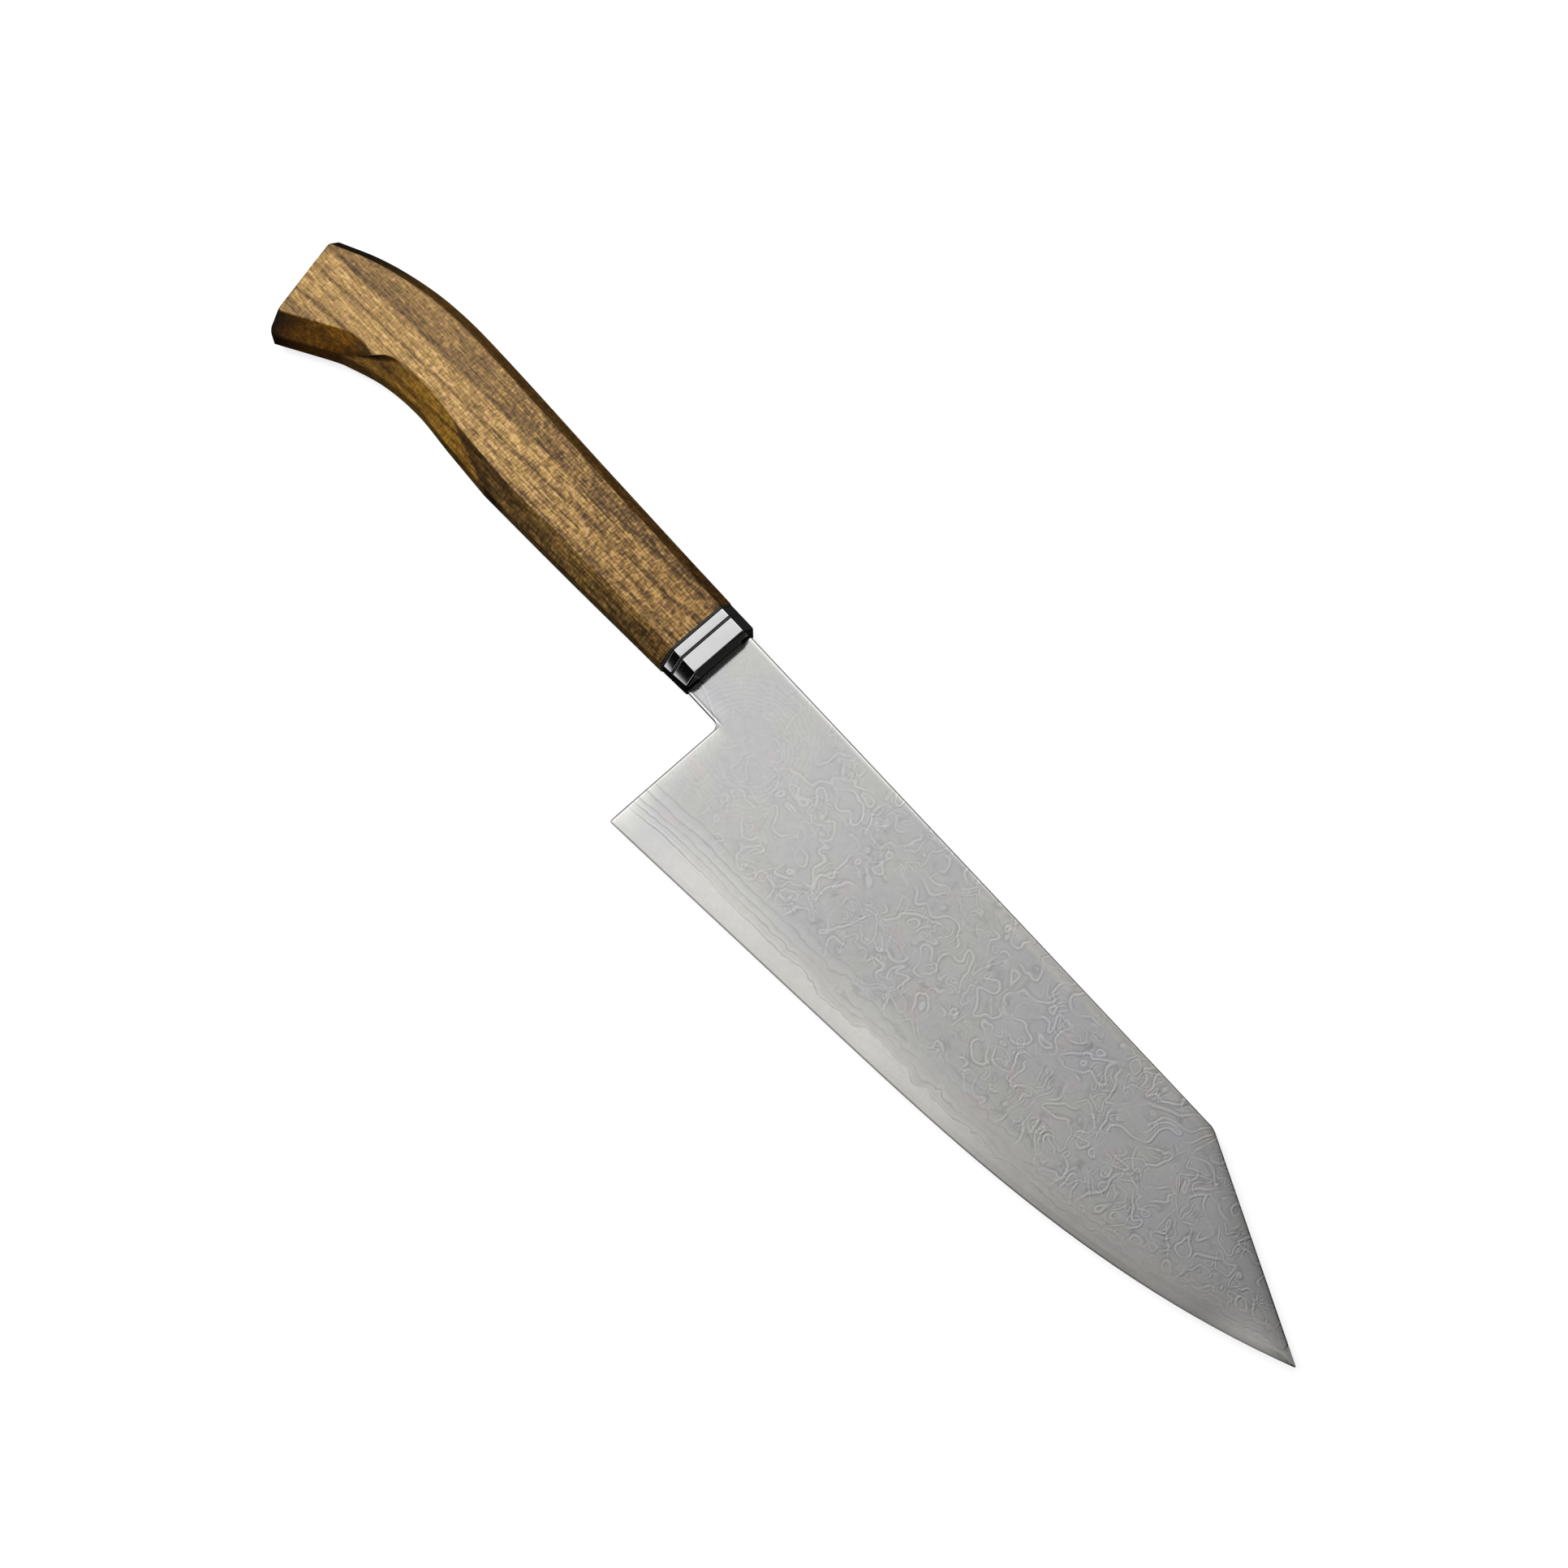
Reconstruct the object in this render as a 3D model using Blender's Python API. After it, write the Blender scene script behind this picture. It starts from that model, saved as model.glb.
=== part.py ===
# Kitchen knife of the bunka pattern: a layered blade with an angled point, a hidden tang,
# a ferrule of two metal rings and a carved eight-sided wooden grip with a hooked pommel.
# Metres. The knife lies on its left side: +X to the point, +Y to the spine, +Z out of the right side.
import math

import bmesh
import bpy
import mathutils

# Blade, seen from the side. X is counted from the ferrule's front, Y from the spine.
NECK_LENGTH = 0.0103
NECK_DEPTH = 0.0180
CHOIL_RADIUS = 0.0018
BLADE_LENGTH = 0.1790
HEEL_DEPTH = 0.0490
HEEL_RADIUS = 0.0006
EDGE_RISE = math.radians(4.2)
SWEEP_START = 0.0610
TIP_DROP = 0.0216
TIP_WIDTH = 0.0003
CLIP_LENGTH = 0.0466
CLIP_RADIUS = 0.0060

# Blade, across its thickness. The outer faces are flat and taper to the edge and the point.
SPINE_THICKNESS = 0.0020
CLIP_THICKNESS = 0.00166
THIN_EDGE_THICKNESS = 0.00040
LAYER_GAP = 0.00002
CLADDING_RIM = 0.00004
CORE_BAND_AT_HEEL = 0.0050
CORE_BAND_AT_TIP = 0.0022
CORE_TIP_LENGTH = 0.0040
BAND_STEP_GAP = 0.00005
BEVEL_HEIGHT = 0.0016
EDGE_LAND = 0.00003
BAND_ROOM = 0.8
BEVEL_ROOM = 0.4

# Tang, hidden in the ferrule and the grip, with this much solid wood behind its end.
TANG_TO_BUTT = 0.0458
TANG_WIDTH = 0.0120
TANG_END_WIDTH = 0.0070
TANG_CORNER = 0.0018

# Ferrule, counted back from its front face.
FRONT_RING_LENGTH = 0.0042
REAR_RING_LENGTH = 0.0024
RING_SPACER_LENGTH = 0.0003
WOOD_SPACER_LENGTH = 0.0005
RING_HEIGHT = 0.0193
RING_FLAT_HEIGHT = 0.0136
RING_TOP = 0.0012
RIM_BEVEL_LENGTH = 0.0003
RIM_BEVEL_DEPTH = 0.0003

# Grip: its flat sides are this far apart and lie parallel to the blade.
GRIP_LENGTH = 0.1185
GRIP_THICKNESS = 0.0150
NARROW_THICKNESS = 0.0060
BUTT_LEAN = math.radians(13.0)
BUTT_ROUNDING = 0.0009

# Clearances: between bonded flat faces, and round the tang.
BOND_GAP = 0.00005
SEAT_GAP = 0.0003
SLOT_GAP = 0.0003
RESIN_GAP = 0.0001
RESIN_WALL = 0.0010
SLOT_OVERRUN = 0.0010

# Outlines of the grip from the side: distance back from the ferrule, and how far the outline lies
# outside the ferrule's own: above its top, below its bottom, below its flat sides. A crease between
# two carved facets ends one list and starts the next. A longer grip stretches them all alike.
GRIP_BACK = ((0.0, 0.0001), (0.0403, 0.0006), (0.0794, 0.0012), (0.0912, 0.0005),
             (0.1007, -0.0013), (0.1093, -0.0040), (0.1185, -0.0083))
BELLY_FRONT = ((0.0, 0.0005), (0.0267, 0.0017), (0.0547, 0.0026))
BELLY_SCOOP = ((0.0547, 0.0026), (0.0675, 0.0019), (0.0784, 0.0012), (0.0886, 0.0024), (0.0984, 0.0057))
BELLY_POMMEL = ((0.0984, 0.0057), (0.1135, 0.0147))
FLAT_FRONT = ((0.0, 0.0), (0.0315, 0.0008), (0.0521, 0.0017), (0.0699, 0.0008))
FLAT_SCOOP = ((0.0699, 0.0008), (0.0770, 0.0), (0.0869, 0.0007), (0.0897, 0.0018), (0.0916, 0.0040))
FLAT_POMMEL = ((0.0916, 0.0040), (0.0952, 0.0034), (0.0995, 0.0043), (0.1055, 0.0078), (0.1155, 0.0136))
CREASES_AT_BACK = (0.0, 0.0628, 0.0948, 0.1185)

# How finely curves are divided.
HEEL_SHARES = (0.0, 0.1, 0.4, 1.0)
STRAIGHT_STEPS = 6
SWEEP_STEPS = 26
TIP_STEPS = 4
CORNER_STEPS = 6
FACET_STEPS = (24, 30, 18)
ROUNDING_STEPS = 3
MIRROR_MERGE = 0.000002


def clear_scene():
    for item in list(bpy.data.objects):
        bpy.data.objects.remove(item, do_unlink=True)


def make_material(name, colour, roughness, metallic):
    material = bpy.data.materials.new(name)
    material.use_nodes = True
    shader = material.node_tree.nodes["Principled BSDF"]
    shader.inputs["Base Color"].default_value = (*colour, 1.0)
    shader.inputs["Roughness"].default_value = roughness
    shader.inputs["Metallic"].default_value = metallic
    return material


def make_object(name, bm, material, origin, height=0.0):
    bmesh.ops.recalc_face_normals(bm, faces=bm.faces)
    mesh = bpy.data.meshes.new(name)
    bm.to_mesh(mesh)
    bm.free()
    mesh.materials.append(material)
    item = bpy.data.objects.new(name, mesh)
    bpy.context.collection.objects.link(item)
    item.parent = origin
    item.location.z = height
    return item


def cut(target, cutter):
    cutter.hide_render = True
    cutter.display_type = "WIRE"
    boolean = target.modifiers.new("cut", "BOOLEAN")
    boolean.operation = "DIFFERENCE"
    boolean.solver = "EXACT"
    boolean.object = cutter


# Places along the blade that follow from its sizes.
HEEL_X = NECK_LENGTH
TIP_X = HEEL_X + BLADE_LENGTH
CLIP_X = TIP_X - CLIP_LENGTH
SWEEP_X = HEEL_X + SWEEP_START
SWEEP_LENGTH = TIP_X - SWEEP_X
SWEEP_LIFT = HEEL_DEPTH - BLADE_LENGTH * math.tan(EDGE_RISE) - TIP_DROP
CORE_END_X = TIP_X - CORE_TIP_LENGTH


def edge_y(x):
    """Cutting edge: straight from the heel, then a cubic sweep up to the point, heel rounded."""
    along = x - HEEL_X
    y = -HEEL_DEPTH + along * math.tan(EDGE_RISE)
    y += SWEEP_LIFT * (max(x - SWEEP_X, 0.0) / SWEEP_LENGTH) ** 3
    inside = HEEL_RADIUS - along
    if inside > 0.0:
        y += HEEL_RADIUS - math.sqrt(HEEL_RADIUS ** 2 - inside ** 2)
    return y


def back_y(x):
    """Spine, then the straight clip down to the point."""
    clip_slope = (TIP_DROP - TIP_WIDTH) / CLIP_LENGTH
    return -max(x - CLIP_X, 0.0) * clip_slope


def band_y(x):
    """Upper limit of the bare core steel above the cutting edge."""
    share = (x - HEEL_X) / BLADE_LENGTH
    band = CORE_BAND_AT_HEEL + share * (CORE_BAND_AT_TIP - CORE_BAND_AT_HEEL)
    room = back_y(x) - edge_y(x)
    return edge_y(x) + min(band, BAND_ROOM * room)


def bevel_y(x):
    """Shoulder of the sharpening bevel."""
    room = back_y(x) - edge_y(x)
    return edge_y(x) + min(BEVEL_HEIGHT, BEVEL_ROOM * room)


def half_thickness(x, y):
    """Half thickness of the whole blade: one plane on each side."""
    along_taper = (SPINE_THICKNESS - CLIP_THICKNESS) / CLIP_X
    depth_taper = (SPINE_THICKNESS - THIN_EDGE_THICKNESS) / HEEL_DEPTH
    return (SPINE_THICKNESS - along_taper * x + depth_taper * y) / 2.0


def edge_stations(last):
    """X of the points along the cutting edge: close together at the rounded heel and the point."""
    rounding = [HEEL_X + HEEL_RADIUS * share for share in HEEL_SHARES]
    straight = [HEEL_X + HEEL_RADIUS + (SWEEP_X - HEEL_X - HEEL_RADIUS) * step / STRAIGHT_STEPS
                for step in range(1, STRAIGHT_STEPS)]
    sweep = [SWEEP_X + (last - SWEEP_X) * step / SWEEP_STEPS for step in range(SWEEP_STEPS + 1)]
    return rounding + straight + sweep


# The core is as thick as the claddings leave it where they are ground thinnest, at the bare band.
CORE_HALF = min(half_thickness(x, band_y(x)) for x in edge_stations(CORE_END_X)) - CLADDING_RIM - LAYER_GAP

# The tang's shoulders stop just in front of the ferrule, and its end lies deep in the grip.
GRIP_FRONT_X = -(FRONT_RING_LENGTH + RING_SPACER_LENGTH + REAR_RING_LENGTH + WOOD_SPACER_LENGTH
                 + 4.0 * BOND_GAP)
TANG_END_X = GRIP_FRONT_X - GRIP_LENGTH + TANG_TO_BUTT

# Depths below the spine of the ferrule's middle, and of the lower edge of its flat sides.
RING_MIDDLE = RING_HEIGHT / 2.0 - RING_TOP
RING_FLAT_BOTTOM = RING_MIDDLE + RING_FLAT_HEIGHT / 2.0
RING_CHAMFER = (RING_HEIGHT - RING_FLAT_HEIGHT) / 2.0


def arc(centre, radius, start, end):
    """Points of an arc, angles in degrees."""
    points = []
    for step in range(CORNER_STEPS + 1):
        angle = math.radians(start + (end - start) * step / CORNER_STEPS)
        points.append((centre[0] + radius * math.cos(angle), centre[1] + radius * math.sin(angle)))
    return points


def clip_corner():
    """Rounded corner between the spine and the clip, from the clip back to the spine."""
    turn = math.atan((TIP_DROP - TIP_WIDTH) / CLIP_LENGTH)
    reach = CLIP_RADIUS * math.tan(turn / 2.0)
    centre = (CLIP_X - reach, -CLIP_RADIUS)
    return arc(centre, CLIP_RADIUS, 90.0 - math.degrees(turn), 90.0)


def tang_outline(clearance, front_x, end_x):
    """Tang from the side, grown by a clearance, from its upper front corner round to the lower one."""
    taper = (TANG_WIDTH - TANG_END_WIDTH) / 2.0 / -TANG_END_X
    half_front = TANG_WIDTH / 2.0 + clearance + taper * front_x
    half_end = TANG_WIDTH / 2.0 + clearance + taper * end_x
    corner_x = end_x + TANG_CORNER
    corner = half_end - TANG_CORNER
    return [(front_x, half_front - RING_MIDDLE), (corner_x, half_end - RING_MIDDLE),
            (end_x, corner - RING_MIDDLE), (end_x, -corner - RING_MIDDLE),
            (corner_x, -half_end - RING_MIDDLE), (front_x, -half_front - RING_MIDDLE)]


def upper_outline():
    """Outline above the bare core band: clip, spine, neck, tang, choil and the heel's back."""
    choil_centre = (HEEL_X - CHOIL_RADIUS, -NECK_DEPTH - CHOIL_RADIUS)
    outline = [(CORE_END_X, back_y(CORE_END_X))]
    outline += clip_corner()
    outline.append((SEAT_GAP, 0.0))
    outline += tang_outline(0.0, SEAT_GAP, TANG_END_X)
    outline.append((SEAT_GAP, -NECK_DEPTH))
    outline += arc(choil_centre, CHOIL_RADIUS, 90.0, 0.0)
    return outline


def add_core(material, origin):
    """Core steel: a flat layer between the claddings, flush with them in the band at the edge.

    Only the right half is modelled. A mirror across the blade's middle plane gives the left half.
    """
    bm = bmesh.new()
    xs = edge_stations(CORE_END_X)
    tip_xs = [CORE_END_X + CORE_TIP_LENGTH * (step + 1) / TIP_STEPS for step in range(TIP_STEPS)]

    def vertex(x, y, z):
        return bm.verts.new((x, y, z))

    outer = [vertex(x, y, CORE_HALF) for x, y in upper_outline()]
    outer_mid = [vertex(v.co.x, v.co.y, 0.0) for v in outer]
    band_low = [vertex(x, band_y(x), CORE_HALF) for x in xs]
    band_high = [vertex(x, band_y(x), half_thickness(x, band_y(x))) for x in xs]
    tip_top = [vertex(x, back_y(x), half_thickness(x, back_y(x))) for x in [CORE_END_X] + tip_xs]
    tip_mid = [vertex(v.co.x, v.co.y, 0.0) for v in tip_top[1:]]
    shoulder = [vertex(x, bevel_y(x), half_thickness(x, bevel_y(x))) for x in xs + tip_xs]
    edge = [vertex(x, edge_y(x), EDGE_LAND / 2.0) for x in xs + tip_xs]
    edge_mid = [vertex(v.co.x, v.co.y, 0.0) for v in edge]

    bm.faces.new(outer + band_low)
    for upper, lower in ((band_low, band_high), (shoulder, edge), (edge, edge_mid), (outer, outer_mid)):
        for index in range(len(upper) - 1):
            bm.faces.new((upper[index], upper[index + 1], lower[index + 1], lower[index]))
    bm.faces.new(band_high + tip_top + shoulder[::-1])
    bm.faces.new((band_low[-1], outer[0], tip_top[0], band_high[-1]))
    tip_walls = [outer_mid[0]] + tip_mid
    for index in range(len(tip_mid)):
        corners = [tip_top[index], tip_top[index + 1], tip_walls[index + 1], tip_walls[index]]
        if index == 0:
            corners.append(outer[0])
        bm.faces.new(corners)
    bm.faces.new((outer[-1], outer_mid[-1], edge_mid[0], edge[0], shoulder[0], band_high[0], band_low[0]))
    bm.faces.new((tip_top[-1], tip_mid[-1], edge_mid[-1], edge[-1], shoulder[-1]))
    core = make_object("blade_core", bm, material, origin, GRIP_THICKNESS / 2.0)
    mirror = core.modifiers.new("left half", "MIRROR")
    mirror.use_axis = (False, False, True)
    mirror.use_mirror_merge = True
    mirror.merge_threshold = MIRROR_MERGE
    return core


def add_cladding(name, side, material, origin):
    """Layered steel on one side of the core: side is 1.0 for the right and -1.0 for the left."""
    bm = bmesh.new()
    inner = CORE_HALF + LAYER_GAP
    outline = upper_outline()
    outline[0] = (CORE_END_X - BAND_STEP_GAP, back_y(CORE_END_X - BAND_STEP_GAP))
    outline += [(x, band_y(x) + BAND_STEP_GAP) for x in edge_stations(CORE_END_X - BAND_STEP_GAP)]
    face = bm.faces.new([bm.verts.new((x, y, side * inner)) for x, y in outline])
    extruded = bmesh.ops.extrude_face_region(bm, geom=[face])["geom"]
    for v in extruded:
        if isinstance(v, bmesh.types.BMVert):
            v.co.z = side * half_thickness(v.co.x, v.co.y)
    return make_object(name, bm, material, origin, GRIP_THICKNESS / 2.0)


def octagon(x, inset):
    """Eight corners of a ferrule section at x, drawn in from the full section by inset."""
    tall = RING_HEIGHT / 2.0 - inset
    flat = RING_FLAT_HEIGHT / 2.0 - inset / 2.0
    wide = GRIP_THICKNESS / 2.0 - inset
    narrow = NARROW_THICKNESS / 2.0 - inset / 2.0
    corners = ((tall, narrow), (flat, wide), (-flat, wide), (-tall, narrow),
               (-tall, -narrow), (-flat, -wide), (flat, -wide), (tall, -narrow))
    return [(x, y - RING_MIDDLE, GRIP_THICKNESS / 2.0 + z) for y, z in corners]


def loft(bm, sections):
    """Skin through sections of equal point count, closed at both ends."""
    rings = [[bm.verts.new(point) for point in section] for section in sections]
    for front, back in zip(rings, rings[1:]):
        for index in range(len(front)):
            following = (index + 1) % len(front)
            bm.faces.new((front[index], front[following], back[following], back[index]))
    bm.faces.new(rings[0])
    bm.faces.new(rings[-1][::-1])
    return rings


def add_plate(name, front_x, length, bevel_length, bevel_depth, material, origin):
    """One plate of the ferrule, from its front face back, with an optional bevelled front rim."""
    bm = bmesh.new()
    sections = [octagon(front_x, bevel_depth)]
    if bevel_length > 0.0:
        sections.append(octagon(front_x - bevel_length, 0.0))
    sections.append(octagon(front_x - length, 0.0))
    loft(bm, sections)
    return make_object(name, bm, material, origin)


def add_tang_block(name, clearance, front_x, end_x, material, origin):
    """Solid of the tang's shape, grown all round by a clearance."""
    bm = bmesh.new()
    outline = tang_outline(clearance, front_x, end_x - clearance)
    face = bm.faces.new([bm.verts.new((x, y, 0.0)) for x, y in outline])
    extruded = bmesh.ops.extrude_face_region(bm, geom=[face])["geom"]
    half = SPINE_THICKNESS / 2.0 + clearance
    upper = {v for v in extruded if isinstance(v, bmesh.types.BMVert)}
    for v in bm.verts:
        v.co.z = half if v in upper else -half
    return make_object(name, bm, material, origin, GRIP_THICKNESS / 2.0)


def curve_at(points, distance):
    """Smooth curve through (distance, rise) points, read at one distance along the grip."""
    last = len(points) - 1
    slopes = []
    for index in range(len(points)):
        before = points[max(index - 1, 0)]
        after = points[min(index + 1, last)]
        slopes.append((after[1] - before[1]) / (after[0] - before[0]))
    index = 0
    while index < last - 1 and distance > points[index + 1][0]:
        index += 1
    (start, d0), (end, d1) = points[index], points[index + 1]
    width = end - start
    t = (distance - start) / width
    return ((2 * t ** 3 - 3 * t ** 2 + 1) * d0 + (t ** 3 - 2 * t ** 2 + t) * width * slopes[index]
            + (3 * t ** 2 - 2 * t ** 3) * d1 + (t ** 3 - t ** 2) * width * slopes[index + 1])


def grip_sections():
    """Sections of the grip, leaning where a crease between two facets runs aslant."""
    facets = ((FLAT_FRONT, BELLY_FRONT), (FLAT_SCOOP, BELLY_SCOOP), (FLAT_POMMEL, BELLY_POMMEL))
    stretch = GRIP_LENGTH / GRIP_BACK[-1][0]
    wide = GRIP_THICKNESS / 2.0
    narrow = NARROW_THICKNESS / 2.0
    sections = []
    for facet, (flat, belly) in enumerate(facets):
        steps = FACET_STEPS[facet]
        for step in range(1 if facet else 0, steps + 1):
            t = step / steps
            at_back = CREASES_AT_BACK[facet] + t * (CREASES_AT_BACK[facet + 1] - CREASES_AT_BACK[facet])
            at_flat = flat[0][0] + t * (flat[-1][0] - flat[0][0])
            at_belly = belly[0][0] + t * (belly[-1][0] - belly[0][0])
            crest_y = RING_TOP + curve_at(GRIP_BACK, at_back)
            flat_y = -RING_FLAT_BOTTOM - curve_at(flat, at_flat)
            belly_y = RING_TOP - RING_HEIGHT - curve_at(belly, at_belly)
            sections.append(((GRIP_FRONT_X - at_back * stretch, crest_y, narrow),
                             (GRIP_FRONT_X - at_back * stretch, crest_y - RING_CHAMFER, wide),
                             (GRIP_FRONT_X - at_flat * stretch, flat_y, wide),
                             (GRIP_FRONT_X - at_belly * stretch, belly_y, narrow)))
    return sections


def add_grip(material, origin):
    """Carved wooden grip: a loft of eight-sided sections, cut off at the leaning butt."""
    bm = bmesh.new()
    middle = GRIP_THICKNESS / 2.0
    sections = []
    for half in grip_sections():
        right = [(x, y, middle + z) for x, y, z in half]
        left = [(x, y, middle - z) for x, y, z in reversed(half)]
        sections.append(right + left)
    butt_top = sections[-1][0]
    sections[-1] = [(butt_top[0] + (butt_top[1] - y) * math.tan(BUTT_LEAN), y, z)
                    for x, y, z in sections[-1]]
    rings = loft(bm, sections)
    butt = set(rings[-1])
    butt_edges = [edge for edge in bm.edges if edge.verts[0] in butt and edge.verts[1] in butt]
    bmesh.ops.bevel(bm, geom=butt_edges, offset=BUTT_ROUNDING, segments=ROUNDING_STEPS, profile=0.5, affect="EDGES")
    return make_object("handle", bm, material, origin)


def build():
    clear_scene()
    origin = bpy.data.objects.new("knife_origin", None)
    bpy.context.collection.objects.link(origin)

    core_steel = make_material("core steel", (0.62, 0.62, 0.61), 0.25, 1.0)
    clad_steel = make_material("layered cladding steel", (0.50, 0.50, 0.50), 0.35, 1.0)
    ring_metal = make_material("ferrule metal", (0.70, 0.70, 0.69), 0.22, 1.0)
    fibre = make_material("black fibre", (0.015, 0.015, 0.015), 0.6, 0.0)
    wood = make_material("oiled wood", (0.30, 0.17, 0.06), 0.5, 0.0)
    resin = make_material("cured resin", (0.55, 0.45, 0.25), 0.3, 0.0)
    scratch = make_material("cutter", (1.0, 0.0, 0.0), 0.5, 0.0)

    pieces = [add_core(core_steel, origin),
              add_cladding("cladding_right", 1.0, clad_steel, origin),
              add_cladding("cladding_left", -1.0, clad_steel, origin)]

    ferrule = (("front_ring", FRONT_RING_LENGTH, RIM_BEVEL_LENGTH, RIM_BEVEL_DEPTH, ring_metal),
               ("ring_spacer", RING_SPACER_LENGTH, 0.0, 0.0, fibre),
               ("rear_ring", REAR_RING_LENGTH, 0.0, 0.0, ring_metal),
               ("wood_spacer", WOOD_SPACER_LENGTH, 0.0, 0.0, fibre))
    ring_slot = add_tang_block("ring_slot", SLOT_GAP, SLOT_OVERRUN, TANG_END_X, scratch, origin)
    front_x = 0.0
    for name, length, bevel_length, bevel_depth, material in ferrule:
        plate = add_plate(name, front_x, length, bevel_length, bevel_depth, material, origin)
        cut(plate, ring_slot)
        pieces.append(plate)
        front_x -= length + BOND_GAP

    grip = add_grip(wood, origin)
    slot_growth = SLOT_GAP + RESIN_WALL
    grip_slot = add_tang_block("grip_slot", slot_growth + RESIN_GAP, SLOT_OVERRUN, TANG_END_X,
                               scratch, origin)
    cut(grip, grip_slot)
    pieces.append(grip)

    resin_sleeve = add_tang_block("tang_resin", slot_growth, GRIP_FRONT_X, TANG_END_X, resin, origin)
    cut(resin_sleeve, ring_slot)
    pieces.append(resin_sleeve)

    corners = [vertex.co for piece in pieces for vertex in piece.data.vertices]
    middle_x = (min(c.x for c in corners) + max(c.x for c in corners)) / 2.0
    middle_y = (min(c.y for c in corners) + max(c.y for c in corners)) / 2.0
    origin.location = mathutils.Vector((-middle_x, -middle_y, 0.0))


build()
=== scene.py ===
import math

import bmesh
import bpy
from mathutils import Matrix, Vector


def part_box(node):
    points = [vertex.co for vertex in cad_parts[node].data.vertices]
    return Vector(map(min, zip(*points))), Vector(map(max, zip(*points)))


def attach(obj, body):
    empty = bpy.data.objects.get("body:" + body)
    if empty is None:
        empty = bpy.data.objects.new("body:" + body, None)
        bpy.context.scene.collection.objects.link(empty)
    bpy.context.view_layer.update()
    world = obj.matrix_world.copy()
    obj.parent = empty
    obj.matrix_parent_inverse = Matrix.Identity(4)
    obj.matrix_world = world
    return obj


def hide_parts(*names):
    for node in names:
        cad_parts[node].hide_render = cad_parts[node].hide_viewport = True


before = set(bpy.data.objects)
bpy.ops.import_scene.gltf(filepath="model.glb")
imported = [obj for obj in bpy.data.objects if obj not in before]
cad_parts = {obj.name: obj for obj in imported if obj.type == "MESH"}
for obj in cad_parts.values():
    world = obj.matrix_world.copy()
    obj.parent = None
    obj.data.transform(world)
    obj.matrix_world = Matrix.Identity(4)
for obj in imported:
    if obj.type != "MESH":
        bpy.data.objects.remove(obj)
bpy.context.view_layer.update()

# Blade core.
# One flat layer of hard core steel runs through the whole blade and back into the handle as the tang.
# It is ground bare along the cutting edge, a plain band that ends in the sharpened edge.

MERGE_DISTANCE = 1e-6
FLAT_ANGLE = math.radians(0.05)
SMOOTH_ANGLE = math.radians(50)
CORE_SMOOTH_ANGLE = math.radians(4)


def pick(piece):
    """Selects this piece alone and makes it the active one."""
    bpy.ops.object.select_all(action="DESELECT")
    piece.select_set(True)
    bpy.context.view_layer.objects.active = piece


def start_edit(piece, mode):
    """Opens this piece alone in edit mode and sets what is picked: vertices, edges or faces."""
    pick(piece)
    bpy.ops.object.mode_set(mode="EDIT")
    bpy.ops.mesh.select_mode(type=mode)
    bpy.ops.mesh.select_all(action="DESELECT")
    return bmesh.from_edit_mesh(piece.data)


def end_edit(piece):
    bmesh.update_edit_mesh(piece.data)
    bpy.ops.object.mode_set(mode="OBJECT")


def copy_of_solid(node_name, piece_name):
    """A new piece that starts as the CAD solid, its triangles merged into whole flat faces."""
    piece = bpy.data.objects.new(piece_name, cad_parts[node_name].data.copy())
    bpy.context.scene.collection.objects.link(piece)
    piece.data.materials.clear()
    pick(piece)
    bpy.ops.mesh.customdata_custom_splitnormals_clear()
    start_edit(piece, "VERT")
    bpy.ops.mesh.select_all(action="SELECT")
    bpy.ops.mesh.remove_doubles(threshold=MERGE_DISTANCE)
    bpy.ops.mesh.dissolve_limited(angle_limit=FLAT_ANGLE)
    end_edit(piece)
    return piece


def finish_shading(piece, smooth_angle=SMOOTH_ANGLE):
    """Smooths gentle turns and lets the broad flat faces keep their own direction."""
    pick(piece)
    bpy.ops.object.shade_smooth_by_angle(angle=smooth_angle)
    weighted = piece.modifiers.new("Flat faces stay flat", "WEIGHTED_NORMAL")
    weighted.mode = "FACE_AREA"
    weighted.weight = 100
    weighted.keep_sharp = True
    bpy.ops.object.modifier_apply(modifier=weighted.name)


def hand_over(piece, material, slot, *nodes):
    """The finished piece takes its material, rides on the knife and stands for its CAD solids."""
    piece.data.materials.append(material)
    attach(piece, "root")
    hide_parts(*nodes)


def place(tree, kind, sockets=None, **settings):
    """Adds one shader node. A socket is given a number, a colour or another node's output."""
    node = tree.nodes.new("ShaderNode" + kind)
    for name, value in settings.items():
        setattr(node, name, value)
    for key, value in (sockets or {}).items():
        if isinstance(value, bpy.types.NodeSocket):
            tree.links.new(value, node.inputs[key])
        else:
            node.inputs[key].default_value = value
    return node


def reckon(tree, operation, *terms):
    return place(tree, "Math", dict(enumerate(terms)), operation=operation).outputs[0]


def rise(tree, value, low, high, at_low=0.0, at_high=1.0):
    """A soft step from one value to another."""
    sockets = {0: value, 1: low, 2: high, 3: at_low, 4: at_high}
    return place(tree, "MapRange", sockets, interpolation_type="SMOOTHSTEP").outputs[0]


def stretch(tree, vector, x, y, z):
    return place(tree, "VectorMath", {0: vector, 1: (x, y, z)}, operation="MULTIPLY").outputs[0]


def noise(tree, vector, scale=1.0, detail=2.0, roughness=0.5, distortion=0.0):
    sockets = {
        "Vector": vector,
        "Scale": scale,
        "Detail": detail,
        "Roughness": roughness,
        "Distortion": distortion,
    }
    return place(tree, "TexNoise", sockets).outputs["Fac"]


def colour_mix(tree, how, factor, first, second):
    node = place(tree, "Mix", {0: factor, 6: first, 7: second}, data_type="RGBA", blend_type=how)
    return node.outputs[2]


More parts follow.
